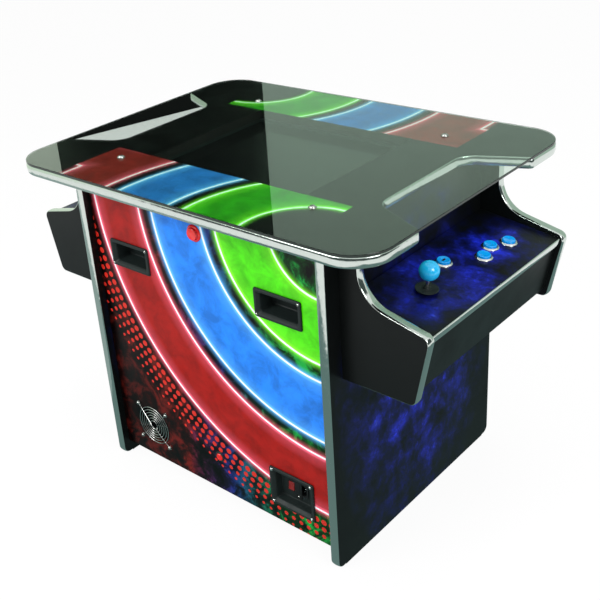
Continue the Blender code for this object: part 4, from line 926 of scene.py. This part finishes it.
def make_side_buttons():
    button("service_button", BOARD, front_face(SERVICE_AT), red, red)
    matrix = front_face(RESET_AT)
    back, flange = -BOARD - GAP, RESET_CAP + 0.002
    cap = lathe([(0, 0.0036), (RESET_CAP - 0.0018, 0.0032, 0.001), (RESET_CAP, 0.0016, 0.0012),
                 (RESET_CAP, back), (flange, back), (flange, -BOARD - 0.0028),
                 (0, -BOARD - 0.0028)], 48)
    piece("reset_cap", cap, red, matrix, ["reset_button_plunger"],
          "reset_button_plunger")
    ring = lathe([(0.0084, 0.0003), (0.0084, 0.0016, 0.0003), (0.0104, 0.0018, 0.0004),
                  (0.0120, 0.0003), (0.0084, 0.0003)], 48)
    piece("reset_ring", ring, moulded, matrix)


def make_guard():
    """Rings of wire on a stay from lug to lug and two short legs, with an eye at each lug."""
    matrix = front_face(FAN_AT)
    low, corner = GAP + WIRE, FAN_LUG
    high = low + 1.7 * WIRE
    shapes = []
    for radius in GUARD_RINGS:
        ring = bmesh.new()
        bmesh.ops.create_circle(ring, segments=10, radius=WIRE, matrix=at(radius, 0, low) @ UPRIGHT)
        bmesh.ops.spin(ring, geom=ring.verts[:] + ring.edges[:], cent=(0, 0, 0), axis=(0, 0, 1),
                       angle=2 * math.pi, steps=64, use_merge=True)
        shapes.append(welded(ring))
    lug, bend = low + 0.0004, corner * 0.86
    shapes.append(bent([(-corner, corner, lug), (-bend, bend, high), (-0.012, 0.006, high),
                        (*GUARD_JOG[0], high), (*GUARD_JOG[1], high), (0.010, -0.012, high),
                        (bend, -bend, high), (corner, -corner, lug)], WIRE))
    reach = GUARD_RINGS[-1] * math.sqrt(0.5)
    for side in (-1, 1):
        shapes.append(bent([(side * away, side * away, height) for away, height in
                            ((reach, low + 0.0002), (reach + 0.005, lug), (corner, low))], WIRE))
    piece("guard_wires", joined(*shapes), steel, matrix, ["fan_guard"])
    hole, thick = 0.0022, GAP + 0.0011
    for index, spot in enumerate(four(corner, corner)):
        eye = lathe([(hole, GAP), (0.0046, GAP), (0.0046, thick, 0.0004), (hole, thick),
                     (hole, GAP)], 32)
        piece(f"guard_eye_{index}", eye, steel, matrix @ at(*spot))
        piece(f"guard_screw_{index}", screw(*GUARD_SCREW), steel,
              matrix @ at(*spot, GAP + 0.0028) @ Matrix.Rotation(0.4 * index, 4, "Z"))


def make_screen():
    face = BODY_TOP - MONITOR_SUNK
    slab = eased(plate(rectangle(MONITOR_FACE[0] - 0.0008, MONITOR_FACE[1] - 0.0008, 0.0006),
                       0.0008), 0.0002, 1)
    piece("screen_panel", slab, panel_glass, at(0, 0, face), sharp=15)


make_top()
make_body()
make_players()
make_grips()
make_mains()
make_side_buttons()
make_guard()
make_screen()

# Carried-over pieces, each with the finish of the real one
KEPT = {
    "end_board_left": end_glow, "end_board_right": end_glow,
    "side_board_front": side_print, "side_board_back": laminate, "base_board": fibre,
    "box_fascia_right": laminate, "box_fascia_left": laminate,
    "joystick_pivot_right": zinc, "joystick_pivot_left": zinc,
    "monitor": moulded, "game_board": mask_green, "power_supply": zinc, "speaker": paper,
    "fan_frame": nylon, "fan_rotor": nylon,
}
for name, material in KEPT.items():
    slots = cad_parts[name].data.materials
    slots.clear()
    slots.append(material)

# Studio: a pale floor, soft lamps, and cards that stand in for a darker room


def studio_sheet(name, width, height, matrix, material):
    shape = bmesh.new()
    bmesh.ops.create_grid(shape, x_segments=1, y_segments=1, size=0.5,
                          matrix=matrix @ Matrix.Diagonal((width, height, 1, 1)))
    mesh = bpy.data.meshes.new(name)
    shape.to_mesh(mesh)
    shape.free()
    mesh.materials.append(material)
    thing = bpy.data.objects.new(name, mesh)
    bpy.context.scene.collection.objects.link(thing)
    return thing


def seen_directly(owner):
    """1 for rays from the camera, off a mirror or through glass, and 0 for the others."""
    rays = node(owner, "LightPath").outputs
    seen = rays["Is Camera Ray"]
    for kind in ("Is Glossy Ray", "Is Transmission Ray"):
        seen = node(owner, "Math", {0: seen, 1: rays[kind]}, operation="MAXIMUM")
    return seen


def pale(name):
    """Paper that looks white, also in reflections, and still takes a soft shadow."""
    material, shader = finish(name, "ffffff", 0.9)
    share = node(material, "Math", {0: seen_directly(material), 1: 0.94}, operation="MULTIPLY")
    white = node(material, "Emission", {"Color": (1, 1, 1, 1), "Strength": 1.0})
    mixed = node(material, "MixShader", {0: share, 1: shader, 2: white})
    link(material, mixed, material.node_tree.nodes["Material Output"].inputs["Surface"])
    return material


def card(name, colour, width, height, matrix, through=False):
    """A card that only shows in glossy surfaces and, if asked, through glass."""
    material = bpy.data.materials.new(name)
    material.use_nodes = True
    material.node_tree.nodes.clear()
    light = node(material, "Emission", {"Color": linear(colour), "Strength": 1.0})
    link(material, light, node(material, "OutputMaterial").inputs["Surface"])
    thing = studio_sheet(name, width, height, matrix, material)
    thing.visible_camera = thing.visible_diffuse = thing.visible_shadow = False
    thing.visible_volume_scatter = False
    thing.visible_transmission = through


def upright_card(name, colour, start, end, high):
    """A card that stands on a line between two points of the floor."""
    start, end = Vector((*start, 0)), Vector((*end, 0))
    middle = (start + end) / 2
    turn = math.atan2(end.y - start.y, end.x - start.x)
    matrix = at(middle.x, middle.y, high / 2) @ Matrix.Rotation(turn, 4, "Z") @ UPRIGHT
    card(name, colour, (end - start).length, high, matrix, through=True)


studio_sheet("floor", 14, 14, Matrix.Identity(4), pale("paper_floor"))
card("floor_flag_left", "9fb0ae", 1.4, 1.9, at(-1.2, -0.05, 0.0005))
card("floor_flag_right", "6e8684", 1.9, 1.9, at(0.45, -0.05, 0.0005))
upright_card("dark_wall", "141615", (-1.85, 1.98), (-2.14, 0.995), 5.0)
upright_card("left_wall", "e2f0de", (-2.14, 0.995), (-3.2, -2.6), 5.0)
upright_card("pale_wall", "b0c4b6", (-1.85, 1.98), (3.0, 3.2), 5.0)
upright_card("near_wall", "4a5452", (-3.2, -3.4), (3.4, -3.4), 2.6)
upright_card("right_wall", "4a5452", (3.4, -3.4), (3.4, 3.0), 2.6)

# White sky where it is seen, and a weaker one for the light that it gives
world = bpy.context.scene.world or bpy.data.worlds.new("studio")
bpy.context.scene.world = world
world.use_nodes = True
world.node_tree.nodes.clear()
strength = node(world, "MapRange", {"Value": seen_directly(world), "From Min": 0.0,
                                    "From Max": 1.0, "To Min": 0.55, "To Max": 0.98})
sky = node(world, "Background", {"Color": (1, 1, 1, 1), "Strength": strength})
link(world, sky, node(world, "OutputWorld").inputs["Surface"])


def lamp(name, place, aim, size, watts, mirrored=True):
    light = bpy.data.lights.new(name, "AREA")
    light.shape = "RECTANGLE"
    light.size, light.size_y = size
    light.energy = watts
    thing = bpy.data.objects.new(name, light)
    bpy.context.scene.collection.objects.link(thing)
    thing.location = place
    thing.rotation_mode = "QUATERNION"
    thing.rotation_quaternion = (Vector(aim) - Vector(place)).to_track_quat("-Z", "Y")
    thing.visible_glossy = thing.visible_transmission = mirrored


lamp("key_softbox", (-0.9, -2.6, 2.4), (0, 0, 0.4), (1.6, 1.2), 60)
lamp("end_softbox", (2.8, -0.6, 1.9), (0.3, 0, 0.4), (1.4, 1.2), 40)
lamp("top_softbox", (0.2, 0.1, 2.8), (0, 0, 0.6), (1.8, 1.4), 35, mirrored=False)

# The camera, fitted to the photograph: its place, and its right, up and back directions
CAMERA_AT = (1.1735, -1.3219, 1.3077)
CAMERA_AXES = ((0.7437, 0.6638, -0.0793), (-0.2428, 0.3787, 0.8931), (0.6228, -0.6450, 0.4428))
camera = bpy.data.objects.new("camera", bpy.data.cameras.new("camera"))
bpy.context.scene.collection.objects.link(camera)
camera.matrix_world = at(*CAMERA_AT) @ Matrix(CAMERA_AXES).transposed().to_4x4()
camera.data.sensor_width = 36
camera.data.lens = 59.01
camera.data.shift_x, camera.data.shift_y = 0.0788, -0.0553
camera.data.clip_start = 0.05
bpy.context.scene.camera = camera
bpy.context.scene.view_settings.view_transform = "Standard"
